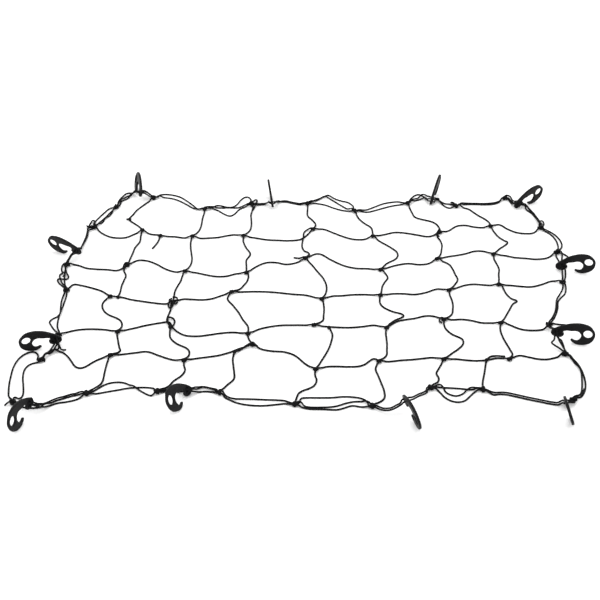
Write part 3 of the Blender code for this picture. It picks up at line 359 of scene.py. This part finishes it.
# Loose runs of the border cord: points of the picture, with the station where an end is at one.
BORDER_RUNS = [
    ["a2", (213, 207.9), (222, 208), (232, 208), (240, 207.6), (246, 206.2), "a3"],
    ["a4", (313, 202), (319, 199.8), (325.5, 197.2), (331.7, 200), (338.3, 203.9), (345, 207.8), (350, 210),
     "a5"],
    ["g7", (480, 388.6), (476.3, 387.6), (471.3, 388.8), (466.3, 391.3), (461.3, 394.6), (456.3, 395.9),
     (451.3, 395), (446.3, 392.5), (442.5, 388.1), (440, 385.4), (436.9, 385), (433.8, 386.5), "g6"],
    ["g5", (368.5, 403.6), (363.3, 401.9), (354.4, 401.7), (345.6, 403.3), (337.8, 405.8), (330, 407),
     (321, 407.3), (310, 407.2), (304, 406), (300.6, 404), "g4"],
    ["a0", (121.5, 201), (125, 197.6), (129, 195.9), (133.5, 194.6)],
    [1, (144, 192.8), (148, 194.8), "a1"],
    ["a3", (253.3, 201.8), (254.8, 200), (256.8, 200), (256.8, 202.8), (255.2, 206.5), (253, 210)],
    ["a6", (412, 202), (415, 200.2), (418.3, 197.8), (422.8, 195.7), (427, 195.9), (431, 197), (435, 199),
     (439, 201.6)],
    ["a7", (454.8, 203.4), (452.8, 202.4), (450.9, 203.2), (452, 204.6), (454.5, 204.9)],
    ["a8", (504.7, 197), (505.4, 195.5), (507.8, 195.3), (510.6, 196.9), (511.6, 199.5), 4],
    [4, (525.5, 207.3), (530, 211), (534.5, 216), "b8"],
    [(541.9, 226), (540, 224.6), (540.4, 222.6), (542.2, 222), (543.8, 223.4), (543.5, 225.3),
     (541.9, 226)],
    ["c8", (560.5, 253.6), (561.9, 255.5), (562, 258), 5],
    ["g8", (578.2, 397.8), (581.8, 395.2), (584, 390.5)],
    ["g8", (570.5, 400.3), (568.5, 402.5), (566, 402.6)],
    ["e8", (553, 323.7), (560, 324.5), (566, 325), (569.5, 327), (565, 329.5), (560, 331)],
    [6, (557.8, 339.5), (561.2, 344.5), "f8"],
    ["g3", (214.8, 391), (209.5, 388.9), (203, 387.8), (197, 388.8), 9],
    ["g1", (79, 393.6), (71, 395.2), (63, 397.5), (55, 400.4), (47, 402.7), (40, 404.2), (33, 404.6)],
    ["g0", (16, 404.5), (21, 406.6), (27, 407.8), (34, 407.9), (40, 407.2), (46, 405.9)],
    ["f0", (45.6, 356.9), (50.5, 354.4), (55, 351.3), (58.5, 347.5), 11],
    [11, (60.6, 347.3), (62.5, 349), (65.8, 349.7)],
    ["d0", (64, 286.5), (62, 283), (60.3, 279.8), (59.6, 276.5), (60.3, 274.3), (62.3, 273.3),
     (61.8, 270.8), (61.6, 268), (63.2, 265), "c0"],
    [(62.3, 273.3), (64.3, 274.5), (65, 277), (63.5, 279)],
    ["b0", (91, 228.4), (88.3, 228.3), (86.9, 226.2)],
    [(89.2, 228.3), (89.6, 225.3), (91.2, 222.3), (93, 221.2), (94.6, 222.4), (93.8, 225.3)],
    ["b0", (99.5, 224.6), (102.5, 222.5), (105.5, 218.8), (109.5, 216), (113, 211.8), "a0"],
]
BORDER_TAIL = [(12.3, 401.5), (4.7, 405.6)]

# Hooks: number, picture point of the two cord holes, heading, pitch and lean in degrees.
# Heading points from the base to the crest, pitch raises the crest, lean is to the right.
HOOKS = [
    (1, (140.6, 192.5), 103, 9, 14),
    (2, (272.1, 203.0), 98, 18, -8),
    (3, (431.8, 200.3), 68, 30, 8),
    (4, (518.0, 204.1), 30, 22, 8),
    (5, (560.7, 265.8), -16, 22, 5),
    (6, (556.8, 332.1), -15, 10, -1),
    (7, (566.0, 402.0), -97, 22, 21),
    (8, (405.5, 399.9), -75, 5, 14),
    (9, (187.3, 390.3), 241, 21, 27),
    (10, (29.3, 402.8), 250, 8, 6),
    (11, (56.2, 339.6), 205, 18, -9),
    (12, (76.8, 250.7), 157, 11, -15),
]

# Side outline of a hook, in drawing units: along from the base's back, up from the belly.
HOOK_TOP_EDGE = [(0, 33), (2, 39), (12, 45), (24, 49.5), (45, 55), (57, 56), (70, 55.5), (80, 53),
                 (92, 47), (99, 36.5), (101.8, 26.5), (99, 16.5), (92, 7), (80, 1), (70, 0)]
HOOK_JAW = [(60, 1), (52, 4.5), (45.5, 10.5), (44.5, 13.5), (47, 14.5), (52, 11.5), (59, 10.2)]
HOOK_THROAT = [(65.5, 14.5), (69.5, 21.5), (68.5, 30), (62, 36.3), (50, 37.5), (27, 35)]
HOOK_BALL = [(29.2, 29), (26, 24), (20, 21.5), (12, 22), (4, 26)]
HOOK_OUTLINE = HOOK_TOP_EDGE + HOOK_JAW + HOOK_THROAT + HOOK_BALL
HOOK_EYE = {"centre": (85.3, 27.5), "radii": (11.0, 11.0)}
HOOK_CORD_HOLES = {"outer": (17.3, 32.2), "inner": (8.9, 34.2)}

# Hooks whose base is wrapped with spare cord, and its turns: centre in drawing units, slope in
# degrees, reach along the slope, and how far the turn leans over.
WRAPPED_HOOKS = (4, 5, 6, 9, 10, 11)
BASE_TURNS = [
    ((13.5, 34), 5, 0.0122, 0.0010),
    ((13.5, 33.5), 35, 0.0115, -0.0012),
    ((13.5, 34), 65, 0.0101, 0.0012),
    ((14.0, 34), 100, 0.0098, -0.0010),
    ((13.5, 33.5), 140, 0.0115, 0.0012),
]
BASE_TURN_HALF_WIDTH = 0.0055


def level(vector):
    """The same vector without its height."""
    return Vector((vector.x, vector.y, 0.0))


def on_floor(picture_point, height=0.0):
    """The point at this height over the floor that shows at this point of the picture."""
    sine = math.sin(VIEW_ELEVATION)
    cosine = math.cos(VIEW_ELEVATION)
    down = picture_point[1] - PICTURE_MIDDLE_PX
    y = -down * (VIEW_DISTANCE - height * sine) - FOCAL_PX * height * cosine
    y /= FOCAL_PX * sine + down * cosine
    depth = VIEW_DISTANCE + y * cosine - height * sine
    x = (picture_point[0] - PICTURE_MIDDLE_PX) * depth / FOCAL_PX
    return Vector((x + MIDDLE_X, y + MIDDLE_Y, height))


def knot_px(name):
    """The picture point of a knot or a tie."""
    return TIES[name] if name in TIES else KNOTS[name[0]][int(name[1:])]


def readings_to_points(start, end, readings, along_rows):
    """Picture points at even steps from start to end; readings give the coordinate across."""
    if isinstance(readings[0], tuple):
        return readings
    points = []
    for number, reading in enumerate(readings, start=1):
        share = number / (len(readings) + 1)
        x, y = (first + (last - first) * share for first, last in zip(start, end))
        points.append((x, reading) if along_rows else (reading, y))
    return points


def smooth_curve(points, lead_in=None, lead_out=None):
    """Dense level curve through the points, with its end directions where they are given."""
    directions = [(after - before).normalized()
                  for before, after in zip(points[:1] + points, points[1:] + points[-1:])]
    if lead_in is not None:
        directions[0] = level(lead_in).normalized()
    if lead_out is not None:
        directions[-1] = level(lead_out).normalized()
    curve = points[:1]
    for index, (start, end) in enumerate(zip(points, points[1:])):
        reach = (end - start).length / 3
        curve += interpolate_bezier(start, start + directions[index] * reach,
                                    end - directions[index + 1] * reach, end, CURVE_POINTS)[1:]
    return curve


def distances(path):
    """How far along the path each of its points is."""
    reached = [0.0]
    for before, after in zip(path, path[1:]):
        reached.append(reached[-1] + (after - before).length)
    return reached


def even_steps(path):
    """The same path with points at even steps."""
    reached = distances(path)
    count = max(2, round(reached[-1] / CORD_STEP))
    result = [path[0]]
    index = 1
    for number in range(1, count):
        wanted = reached[-1] * number / count
        while reached[index] < wanted:
            index += 1
        share = (wanted - reached[index - 1]) / (reached[index] - reached[index - 1])
        result.append(path[index - 1].lerp(path[index], share))
    return result + [path[-1]]


def ease(share):
    """1 at 0, falling smoothly to 0 at 1 and beyond."""
    return 0.5 + 0.5 * math.cos(math.pi * min(max(share, 0.0), 1.0))


def lying_path(start, vias, end, rest, lead_in=None, lead_out=None):
    """Cord centre line that comes down to the floor from start and rises again to end.

    start and end are points, vias are picture points, rest is the centre's height on the floor.
    A short cord between two heights hangs straight from one to the other.
    """
    span = distances([start] + [on_floor(via, rest) for via in vias] + [end])[-1]
    rises = [min(max(KNOT_RISE, HOOK_SLOPE * (point.z - rest)), LONGEST_RISE_SHARE * span)
             for point in (start, end)]
    hangs = HOOK_SLOPE * abs(start.z - end.z) > HANGING_SHARE * span

    def height(distance, length):
        if hangs:
            return start.z + (end.z - start.z) * (1.0 - ease(distance / length))
        up_start = (start.z - rest) * ease(distance / rises[0])
        up_end = (end.z - rest) * ease((length - distance) / rises[1])
        return rest + up_start + up_end

    plan = [level(start)]
    for number, via in enumerate(vias, start=1):
        reached = span * number / (len(vias) + 1)
        plan.append(level(on_floor(via, height(reached, span))))
    curve = smooth_curve(plan + [level(end)], lead_in, lead_out)
    reached = distances(curve)
    return even_steps([Vector((point.x, point.y, height(distance, reached[-1])))
                       for point, distance in zip(curve, reached)])


def seen_from_above(places):
    """A search tree of these places in plan."""
    tree = KDTree(len(places))
    for index, place in enumerate(places):
        tree.insert(level(place), index)
    tree.balance()
    return tree


class Layer:
    """The cords laid so far. Each new one is raised where it crosses them."""

    def __init__(self):
        self.laid = []
        knots = [point for row in KNOTS.values() for point in row]
        self.knots = seen_from_above([on_floor(point) for point in knots + list(TIES.values())])

    def lift(self, path):
        """The path, raised in long low humps where it would run through cords already laid."""
        reached = distances(path)
        tree = seen_from_above(self.laid)
        diameter = 2 * CORD_RADIUS
        humps = []
        for point, top in zip(path, reached):
            if self.knots.find(level(point))[2] < KNOT_CLEARANCE:
                continue
            for _, other, off in tree.find_range(level(point), CROSSING_SHARE * diameter):
                below = self.laid[other].z - point.z
                if abs(below) <= diameter:
                    humps.append((top, below + math.sqrt(diameter ** 2 - off ** 2)))
        raised = []
        for point, place in zip(path, reached):
            rises = [rise * ease(abs(place - top) / CROSSING_REACH) for top, rise in humps]
            raised.append(point + Vector((0.0, 0.0, max(rises + [0.0]))))
        self.laid += raised
        return raised

    def add_run(self, shape, points, heights, radius, share=1.0):
        """A cord with loose ends at these heights; share is how thick it is of its radius."""
        start, end = on_floor(points[0], heights[0]), on_floor(points[-1], heights[1])
        shape.add_cord(self.lift(lying_path(start, points[1:-1], end, radius)), radius * share)


def to_scene(name, data):
    made = bpy.data.objects.new(name, data)
    bpy.context.scene.collection.objects.link(made)
    return made


class Shape:
    """Points and faces of one piece; each face corner has its place round and along the cord."""

    def __init__(self):
        self.points = []
        self.faces = []
        self.layout = []

    def add_ring(self, centre, side, over, radius):
        """One ring of points; returns the number of its first point."""
        for corner in range(CORD_SIDES):
            angle = math.tau * corner / CORD_SIDES
            self.points.append(centre + (side * math.cos(angle) + over * math.sin(angle)) * radius)
        return len(self.points) - CORD_SIDES

    def join_rings(self, first, second, along_first, along_second):
        for corner in range(CORD_SIDES):
            other = (corner + 1) % CORD_SIDES
            self.faces.append((first + corner, first + other, second + other, second + corner))
            left, right = corner / CORD_SIDES, (corner + 1) / CORD_SIDES
            self.layout += [(left, along_first), (right, along_first),
                            (right, along_second), (left, along_second)]

    def close_end(self, first, tip, along, at_start):
        """A fan from a ring to the tip of the cord's end."""
        self.points.append(tip)
        for corner in range(CORD_SIDES):
            edge = [(first + corner, corner), (first + (corner + 1) % CORD_SIDES, corner + 1)]
            if at_start:
                edge.reverse()
            self.faces.append((edge[0][0], edge[1][0], len(self.points) - 1))
            self.layout += [(place / CORD_SIDES, along) for _, place in edge + edge[1:]]

    def add_cord(self, path, radius, closed=False):
        """A round cord along the path, its ends rounded off."""
        count = len(path)
        before = (path[-1:] if closed else path[:1]) + path[:-1]
        after = path[1:] + (path[:1] if closed else path[-1:])
        forwards = [(end - start).normalized() for start, end in zip(before, after)]
        side = forwards[0].cross(Vector((0.0, 0.0, 1.0)))
        if side.length < NEARLY_UPRIGHT:
            side = forwards[0].orthogonal()
        sides = []
        for forward in forwards + forwards[:1]:
            side = (side - forward * side.dot(forward)).normalized()
            sides.append(side)
        twist = 0.0
        if closed:
            over = forwards[0].cross(sides[0])
            twist = -math.atan2(sides[-1].dot(over), sides[-1].dot(sides[0]))
        reached = distances(path + path[:1])
        rings = []
        for index, (centre, forward) in enumerate(zip(path, forwards)):
            side = Matrix.Rotation(twist * index / count, 3, forward) @ sides[index]
            over = forward.cross(side)
            ring = self.add_ring(centre, side, over, radius)
            rings.append((ring, reached[index] / BRAID_PITCH, side, over))
        for (first, along_first, _, _), (second, along_second, _, _) in zip(rings, rings[1:]):
            self.join_rings(first, second, along_first, along_second)
        if closed:
            whole = round(reached[-1] / BRAID_PITCH)
            self.join_rings(rings[-1][0], rings[0][0], rings[-1][1], whole)
            return
        for index, at_start in ((0, True), (-1, False)):
            outward = forwards[index] * (-radius if at_start else radius)
            first, along, side, over = rings[index]
            for turn in END_RINGS:
                bulge = math.radians(turn)
                centre = path[index] + outward * math.sin(bulge) * END_REACH
                ring = self.add_ring(centre, side, over, radius * math.cos(bulge))
                pair = (ring, first) if at_start else (first, ring)
                self.join_rings(*pair, along, along)
                first = ring
            self.close_end(first, path[index] + outward * END_REACH, along, at_start)

    def to_object(self, name, material):
        data = bpy.data.meshes.new(name)
        data.from_pydata(self.points, [], self.faces)
        layer = data.uv_layers.new(name="cord")
        layer.data.foreach_set("uv", [value for pair in self.layout for value in pair])
        data.polygons.foreach_set("use_smooth", [True] * len(self.faces))
        data.materials.append(material)
        made = to_scene(name, data)
        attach(made, "root")
        return made


def level_axes(along):
    """Directions along, to the left of along, and up."""
    along = level(along).normalized()
    return along, Vector((-along.y, along.x, 0.0)), Vector((0.0, 0.0, 1.0))


def turn_of_cord(centre, first, second, radii, slant):
    """One closed turn of cord about centre, slanted along a third direction."""
    path = []
    for step in range(TURN_STEPS):
        angle = math.tau * step / TURN_STEPS
        onward = (first * radii[0] + slant) * math.cos(angle)
        path.append(centre + onward + second * radii[1] * math.sin(angle))
    return path


def add_knot(shape, centre, along, knot, size=1.0):
    """A tightened overhand knot that lies flat, with the turns that draw it together."""
    along, side, up = level_axes(along)
    reach = knot["reach"] * size / 3
    path = []
    for step in range(LACING_STEPS):
        angle = math.tau * step / LACING_STEPS
        across = (math.sin(angle) + 2 * math.sin(2 * angle)) * reach
        onward = (math.cos(angle) - 2 * math.cos(2 * angle)) * reach
        path.append(centre + side * across + along * onward
                    - up * math.sin(3 * angle) * knot["rise"])
    shape.add_cord(path, knot["radius"], True)
    for axis, onward, raised, half_width, half_height, slant in knot["turns"]:
        first, other = (side, along) if axis == "side" else (along, side)
        middle = centre + along * onward + up * raised
        shape.add_cord(turn_of_cord(middle, first, up, (half_width * size, half_height),
                                    other * slant * size), TIGHT_RADIUS, True)


def add_edge_knot(shape, centre, along):
    """A net cord's end: turns round both border cords, and a hitch round itself."""
    along, side, up = level_axes(along)
    path = []
    for step in range(TURN_STEPS * EDGE_TURNS + 1):
        angle = math.tau * step / TURN_STEPS - math.pi / 2
        onward = (step / TURN_STEPS - EDGE_TURNS / 2) * EDGE_TURN_PITCH
        path.append(centre + along * onward + side * EDGE_TURN_RADII[0] * math.cos(angle)
                    + up * EDGE_TURN_RADII[1] * math.sin(angle))
    shape.add_cord(path, EDGE_CORD_RADIUS)
    shape.add_cord(turn_of_cord(centre - side * EDGE_HITCH["inward"], along, up,
                                EDGE_HITCH["radii"], side * EDGE_HITCH["slant"]),
                   EDGE_CORD_RADIUS, True)


def hook_point(along, up, across=0.0):
    """A drawn point of the hook's side, in the hook's own frame."""
    return Vector((along * HOOK_LENGTH / HOOK_DRAWN[0], across, up * HOOK_HEIGHT / HOOK_DRAWN[1]))


def hook_placement(picture_point, heading, pitch, lean):
    """Matrix that stands a hook on the floor with its cord holes where the picture shows them."""
    turned, raised, leaned = (Matrix.Rotation(math.radians(angle), 4, axis)
                              for angle, axis in ((heading, "Z"), (-pitch, "Y"), (lean, "X")))
    rotation = turned @ raised @ leaned
    lowest = min((rotation @ hook_point(along, up, across)).z
                 for along, up in HOOK_OUTLINE
                 for across in (-HOOK_THICKNESS / 2, HOOK_THICKNESS / 2))
    outer, inner = (hook_point(*HOOK_CORD_HOLES[lane]) for lane in LANES)
    middle = rotation @ ((outer + inner) / 2)
    wanted = on_floor(picture_point, middle.z - lowest + HOOK_GROWTH)
    return Matrix.Translation(wanted - middle) @ rotation


def add_base_turns(shape, placement):
    """Spare border cord passed through a hook's holes and drawn tight round its base."""
    rotation = placement.to_3x3()
    across = rotation @ Vector((0.0, 1.0, 0.0))
    for drawn, slope, reach, slant in BASE_TURNS:
        tilt = math.radians(slope)
        onward = rotation @ Vector((math.cos(tilt), 0.0, math.sin(tilt)))
        turn = turn_of_cord(placement @ hook_point(*drawn), onward, across,
                            (reach, BASE_TURN_HALF_WIDTH), onward.cross(across) * slant)
        shape.add_cord(turn, TIGHT_RADIUS, True)


def add_spline(curve, points, resolution):
    """A smooth closed line through drawn points of the hook's side."""
    spline = curve.splines.new("BEZIER")
    spline.bezier_points.add(len(points) - 1)
    for point, drawn in zip(spline.bezier_points, points):
        place = hook_point(*drawn)
        point.co = (place.x, place.z, 0.0)
        point.handle_left_type = point.handle_right_type = "AUTO"
    spline.use_cyclic_u = True
    spline.resolution_u = resolution


def ring_points(centre, radii):
    points = []
    for step in range(RING_POINTS):
        angle = math.tau * step / RING_POINTS
        points.append((centre[0] + radii[0] * math.cos(angle),
                       centre[1] + radii[1] * math.sin(angle)))
    return points


def make_hook_mesh(material):
    """One moulded hook in its own frame: a rounded plate on edge, with its eye and cord holes."""
    curve = bpy.data.curves.new("hook_side", "CURVE")
    curve.dimensions = "2D"
    curve.fill_mode = "BOTH"
    curve.extrude = HOOK_THICKNESS / 2 - HOOK_ROUNDING
    curve.bevel_depth = HOOK_ROUNDING
    curve.bevel_resolution = HOOK_STEPS["edge"]
    curve.offset = HOOK_GROWTH - HOOK_ROUNDING
    add_spline(curve, HOOK_OUTLINE, HOOK_STEPS["outline"])
    add_spline(curve, ring_points(HOOK_EYE["centre"], HOOK_EYE["radii"]), HOOK_STEPS["eye"])
    drawn_radius = CORD_HOLE_RADIUS * HOOK_DRAWN[0] / HOOK_LENGTH
    for place in HOOK_CORD_HOLES.values():
        add_spline(curve, ring_points(place, (drawn_radius, drawn_radius)), HOOK_STEPS["hole"])
    made = to_scene("hook_side", curve)
    bpy.context.view_layer.update()
    evaluated = made.evaluated_get(bpy.context.evaluated_depsgraph_get())
    data = bpy.data.meshes.new_from_object(evaluated)
    bpy.data.objects.remove(made)
    data.transform(Matrix.Rotation(math.radians(90), 4, "X"))
    joined = bmesh.new()
    joined.from_mesh(data)
    bmesh.ops.remove_doubles(joined, verts=joined.verts, dist=MERGE_DISTANCE)
    bmesh.ops.recalc_face_normals(joined, faces=joined.faces)
    joined.to_mesh(data)
    joined.free()
    data.polygons.foreach_set("use_smooth", [True] * len(data.polygons))
    data.materials.append(material)
    return data


def make_hooks(material):
    """The twelve hooks, and where each one holds the outer and the inner border cord."""
    shape = make_hook_mesh(material)
    places = {}
    for number, picture_point, heading, pitch, lean in HOOKS:
        data = shape.copy()
        placement = hook_placement(picture_point, heading, pitch, lean)
        data.transform(placement)
        hook = to_scene(f"moulded_hook_{number:02d}", data)
        weighted = hook.modifiers.new("even_shading", "WEIGHTED_NORMAL")
        weighted.keep_sharp = True
        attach(hook, "root")
        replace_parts(hook, f"hook_{number:02d}")
        place = {lane: placement @ hook_point(*hole) for lane, hole in HOOK_CORD_HOLES.items()}
        place["along"] = (placement.to_3x3() @ Vector((0.0, 1.0, 0.0))).normalized()
        places[number] = place | {"placement": placement}
    return places


def border_stations(hook_places):
    """Place and direction of each border station, by name, clockwise."""
    centres = []
    for name in BORDER:
        if name in hook_places:
            centres.append((hook_places[name]["outer"] + hook_places[name]["inner"]) / 2)
        else:
            centres.append(on_floor(knot_px(name), EDGE_KNOT_AXIS))
    stations = {}
    for before, name, centre, after in zip(centres[-1:] + centres, BORDER, centres,
                                           centres[1:] + centres[:1]):
        along, outward, _ = level_axes(after - before)
        half = outward * BORDER_SPACING / 2
        station = {"centre": centre, "along": along, "outer": centre + half,
                   "inner": centre - half}
        if name in hook_places:
            station.update(hook_places[name])
            if station["along"].dot(along) <= 0:
                station["along"] = -station["along"]
        stations[name] = station
    return stations


def border_loop(stations, lane):
    """Closed centre line of one border cord through every station."""
    loop = []
    for name, next_name, ways in zip(BORDER, BORDER[1:] + BORDER[:1], BORDER_WAYS):
        station, following = stations[name], stations[next_name]
        leaving = LANES[1 - lane] if name in CROSSED_KNOTS else LANES[lane]
        start = station[leaving] + station["along"] * STRAIGHT
        end = following[LANES[lane]] - following["along"] * STRAIGHT
        loop += lying_path(start, ways[lane], end, BORDER_CORD_RADIUS, station["along"],
                           following["along"])
    return even_steps(loop + loop[:1])[:-1]


def make_border(stations, layer, material):
    """The border: two cords all round, tied together at the corners, with loose turns."""
    for lane, label in enumerate(LANES):
        shape = Shape()
        shape.add_cord(layer.lift(border_loop(stations, lane)), BORDER_CORD_RADIUS, True)
        cord = shape.to_object(f"border_{label}_cord", material)
        if label == "outer":
            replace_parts(cord, "border_cord")
    loose = Shape()
    for first, *points, last in BORDER_RUNS:
        start, end = (on_floor(place, BORDER_CORD_RADIUS) if isinstance(place, tuple)
                      else stations[place]["centre"] for place in (first, last))
        path = lying_path(start, points, end, BORDER_CORD_RADIUS)
        loose.add_cord(layer.lift(path), BORDER_CORD_RADIUS * LOOSE_TURN_SHARE)
    layer.add_run(loose, BORDER_TAIL, (EDGE_KNOT_AXIS, BORDER_CORD_RADIUS), BORDER_CORD_RADIUS)
    for number in WRAPPED_HOOKS:
        add_base_turns(loose, stations[number]["placement"])
    loose.to_object("border_loose_turns", material)
    corners = Shape()
    for name in CORNERS:
        add_knot(corners, stations[name]["centre"], stations[name]["along"], CORNER_KNOT)
    corners.to_object("border_corner_knots", material)


def net_cord_end(stations, name, towards):
    """Where a net cord ends in a knot, and its direction there, seen from the knot."""
    at_border = name in stations
    centre = stations[name]["centre"] if at_border else on_floor(knot_px(name), KNOT_MIDDLE)
    heading = level(towards - centre).normalized()
    if at_border:
        outward = level_axes(stations[name]["along"])[1]
        heading = (heading - outward * BORDER_SQUARENESS).normalized()
    return centre + heading * (NET_END_FROM_AXIS if at_border else KNOT_INSET), heading


def make_net(stations, layer, material):
    """The net: five cross cords and seven lengthwise cords, knotted where they meet."""
    cross, lengthwise = Shape(), Shape()

    def add_span(shape, first, last, readings):
        vias = readings_to_points(knot_px(first), knot_px(last), readings, shape is cross)
        start, away = net_cord_end(stations, first, on_floor(vias[0]))
        end, back = net_cord_end(stations, last, on_floor(vias[-1]))
        path = lying_path(start, vias, end, CORD_RADIUS, away, -back)
        shape.add_cord(layer.lift(path), CORD_RADIUS)

    for row, spans in CROSS_CORDS.items():
        for column, readings in enumerate(spans):
            add_span(cross, f"{row}{column}", f"{row}{column + 1}", readings)
    for column, spans in LENGTHWISE_CORDS.items():
        for row, next_row, readings in zip(ROWS, ROWS[1:], spans):
            above, below = f"{row}{column}", f"{next_row}{column}"
            add_span(lengthwise, SPAN_STARTS.get(above, above), SPAN_ENDS.get(above, below),
                     readings)
    for points in NET_LOOPS:
        layer.add_run(cross, points, (KNOT_MIDDLE, KNOT_MIDDLE), CORD_RADIUS, LOOSE_TURN_SHARE)
    for points in NET_TAILS:
        layer.add_run(lengthwise, points, (KNOT_MIDDLE, CORD_RADIUS), CORD_RADIUS)
    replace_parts(cross.to_object("cross_cords", material), "net")
    lengthwise.to_object("lengthwise_cords", material)
    knots = Shape()
    for row in CROSS_CORDS:
        for column in range(1, LAST_COLUMN):
            left, middle, right = (knot_px(f"{row}{column + step}") for step in (-1, 0, 1))
            add_knot(knots, on_floor(middle, KNOT_MIDDLE), on_floor(right) - on_floor(left),
                     CROSSING_KNOT)
    for name, point in TIES.items():
        size = 1.0 if name == LARGE_TIE else SMALL_TIE_SIZE
        add_knot(knots, on_floor(point, KNOT_MIDDLE), TIE_DIRECTION, CROSSING_KNOT, size)
    knots.to_object("crossing_knots", material)
    edges = Shape()
    for name, station in stations.items():
        if isinstance(name, str) and name not in CORNERS:
            add_edge_knot(edges, station["centre"], station["along"])
    edges.to_object("edge_knots", material)


class Nodes:
    """A material's node tree, with short calls to add to it."""

    def __init__(self, name, specular):
        self.material = bpy.data.materials.new(name)
        self.material.use_nodes = True
        self.tree = self.material.node_tree
        self.shader = self.tree.nodes["Principled BSDF"]
        self.shader.inputs["Specular IOR Level"].default_value = specular
        self.where = self.add("ShaderNodeTexCoord").outputs["Object"]

    def add(self, kind, inputs=(), **settings):
        made = self.tree.nodes.new(kind)
        for key, value in settings.items():
            setattr(made, key, value)
        for key, value in dict(inputs).items():
            if isinstance(value, bpy.types.NodeSocket):
                self.tree.links.new(value, made.inputs[key])
            else:
                made.inputs[key].default_value = value
        return made

    def math(self, operation, first, second=0.0, third=0.0):
        made = self.add("ShaderNodeMath", {0: first, 1: second, 2: third}, operation=operation)
        return made.outputs[0]

    def noise(self, scale, detail, distortion=0.0):
        """Lumps over the object, this many to the metre."""
        inputs = {"Vector": self.where, "Scale": scale, "Detail": detail, "Distortion": distortion}
        return self.add("ShaderNodeTexNoise", inputs).outputs["Fac"]

    def colour(self, factor, shades):
        """The shader's colour: these shades as the factor grows."""
        made = self.add("ShaderNodeValToRGB", {"Fac": factor})
        elements = made.color_ramp.elements
        while len(elements) < len(shades):
            elements.new(1.0)
        for element, (place, shade) in zip(elements, shades):
            element.position = place
            element.color = (*shade, 1.0)
        self.link(made.outputs["Color"], "Base Color")

    def link(self, output, name):
        self.tree.links.new(output, self.shader.inputs[name])

    def bump(self, height, strength, distance, under=None):
        inputs = {"Height": height, "Strength": strength, "Distance": distance}
        if under is not None:
            inputs["Normal"] = under
        return self.add("ShaderNodeBump", inputs).outputs["Normal"]


def make_cord_material():
    """Black braided sheath: two sets of strands that wind round the cord and cross each other; shade is
    painted into the grooves between the strands.
    """
    nodes = Nodes("braided_cord", specular=0.08)
    place = nodes.add("ShaderNodeUVMap", uv_map="cord").outputs["UV"]
    split = nodes.add("ShaderNodeSeparateXYZ", {0: place})
    around, along = split.outputs["X"], split.outputs["Y"]
    heights = []
    counts = []
    for operation in ("ADD", "SUBTRACT"):
        strand = nodes.math("MULTIPLY", nodes.math(operation, around, along), BRAID_STRANDS)
        counts.append(nodes.math("FLOOR", strand))
        wave = nodes.math("SINE", nodes.math("MULTIPLY", strand, math.pi))
        heights.append(nodes.math("ABSOLUTE", wave))
    over = nodes.math("FLOORED_MODULO", nodes.math("ADD", *counts), 2.0)
    under = nodes.math("SUBTRACT", 1.0, over)
    height = nodes.math("ADD", nodes.math("MULTIPLY", heights[0], over),
                        nodes.math("MULTIPLY", heights[1], under))
    dust = nodes.noise(scale=60.0, detail=4.0)
    # Colour: random dust tone, plus painted shade from the strand height: darker in the grooves between
    # strands, lighter on their tops.
    nodes.colour(nodes.math("MULTIPLY_ADD", dust, 0.5, nodes.math("MULTIPLY", height, 0.5)),
                 CORD_SHADES)
    nodes.link(nodes.math("MULTIPLY_ADD", height, -0.15, 0.85), "Roughness")
    nodes.link(nodes.bump(height, strength=0.7, distance=0.0004), "Normal")
    return nodes.material


def make_plastic_material():
    """Black moulded plastic: fine grain, faint flow marks and rubbed patches."""
    nodes = Nodes("moulded_plastic", specular=0.10)
    grain = nodes.noise(scale=2200.0, detail=2.0)
    flow = nodes.noise(scale=45.0, detail=5.0, distortion=0.6)
    nodes.colour(flow, PLASTIC_SHADES)
    nodes.link(nodes.math("MULTIPLY_ADD", flow, 0.25, 0.36), "Roughness")
    fine = nodes.bump(grain, strength=0.25, distance=0.0002)
    nodes.link(nodes.bump(flow, strength=0.15, distance=0.001, under=fine), "Normal")
    return nodes.material


def make_floor():
    """A pale matt board with hardly any grain."""
    nodes = Nodes("pale_board", specular=0.1)
    nodes.colour(nodes.noise(scale=25.0, detail=6.0), FLOOR_SHADES)
    nodes.shader.inputs["Roughness"].default_value = 0.9
    mesh = bmesh.new()
    bmesh.ops.create_grid(mesh, x_segments=4, y_segments=4, size=FLOOR_HALF_SIZE)
    data = bpy.data.meshes.new("floor")
    mesh.to_mesh(data)
    mesh.free()
    data.materials.append(nodes.material)
    floor = to_scene("floor", data)
    floor.location.z = FLOOR_LEVEL


def make_lights():
    """A white room: an even sky, and two broad soft lamps from above left and right."""
    world = bpy.data.worlds.new("studio")
    world.use_nodes = True
    background = world.node_tree.nodes["Background"]
    background.inputs["Color"].default_value = (1.0, 1.0, 1.0, 1.0)
    background.inputs["Strength"].default_value = SKY_STRENGTH
    bpy.context.scene.world = world
    for name, place, power in LAMPS:
        lamp = bpy.data.lights.new(name, "AREA")
        lamp.shape = "SQUARE"
        lamp.size = LAMP_SIZE
        lamp.energy = power
        made = to_scene(name, lamp)
        made.location = place
        made.rotation_euler = (-Vector(place)).to_track_quat("-Z", "Y").to_euler()


def make_camera():
    data = bpy.data.cameras.new("camera")
    data.sensor_width = SENSOR_WIDTH
    data.lens = FOCAL_PX * SENSOR_WIDTH / (2 * PICTURE_MIDDLE_PX)
    camera = to_scene("camera", data)
    camera.location = (MIDDLE_X, MIDDLE_Y - VIEW_DISTANCE * math.cos(VIEW_ELEVATION),
                       VIEW_DISTANCE * math.sin(VIEW_ELEVATION))
    camera.rotation_euler = (math.pi / 2 - VIEW_ELEVATION, 0.0, 0.0)
    bpy.context.scene.camera = camera


def main():
    bpy.context.scene.view_settings.view_transform = "Standard"
    make_camera()
    cord = make_cord_material()
    stations = border_stations(make_hooks(make_plastic_material()))
    layer = Layer()
    make_border(stations, layer, cord)
    make_net(stations, layer, cord)
    make_floor()
    make_lights()


main()
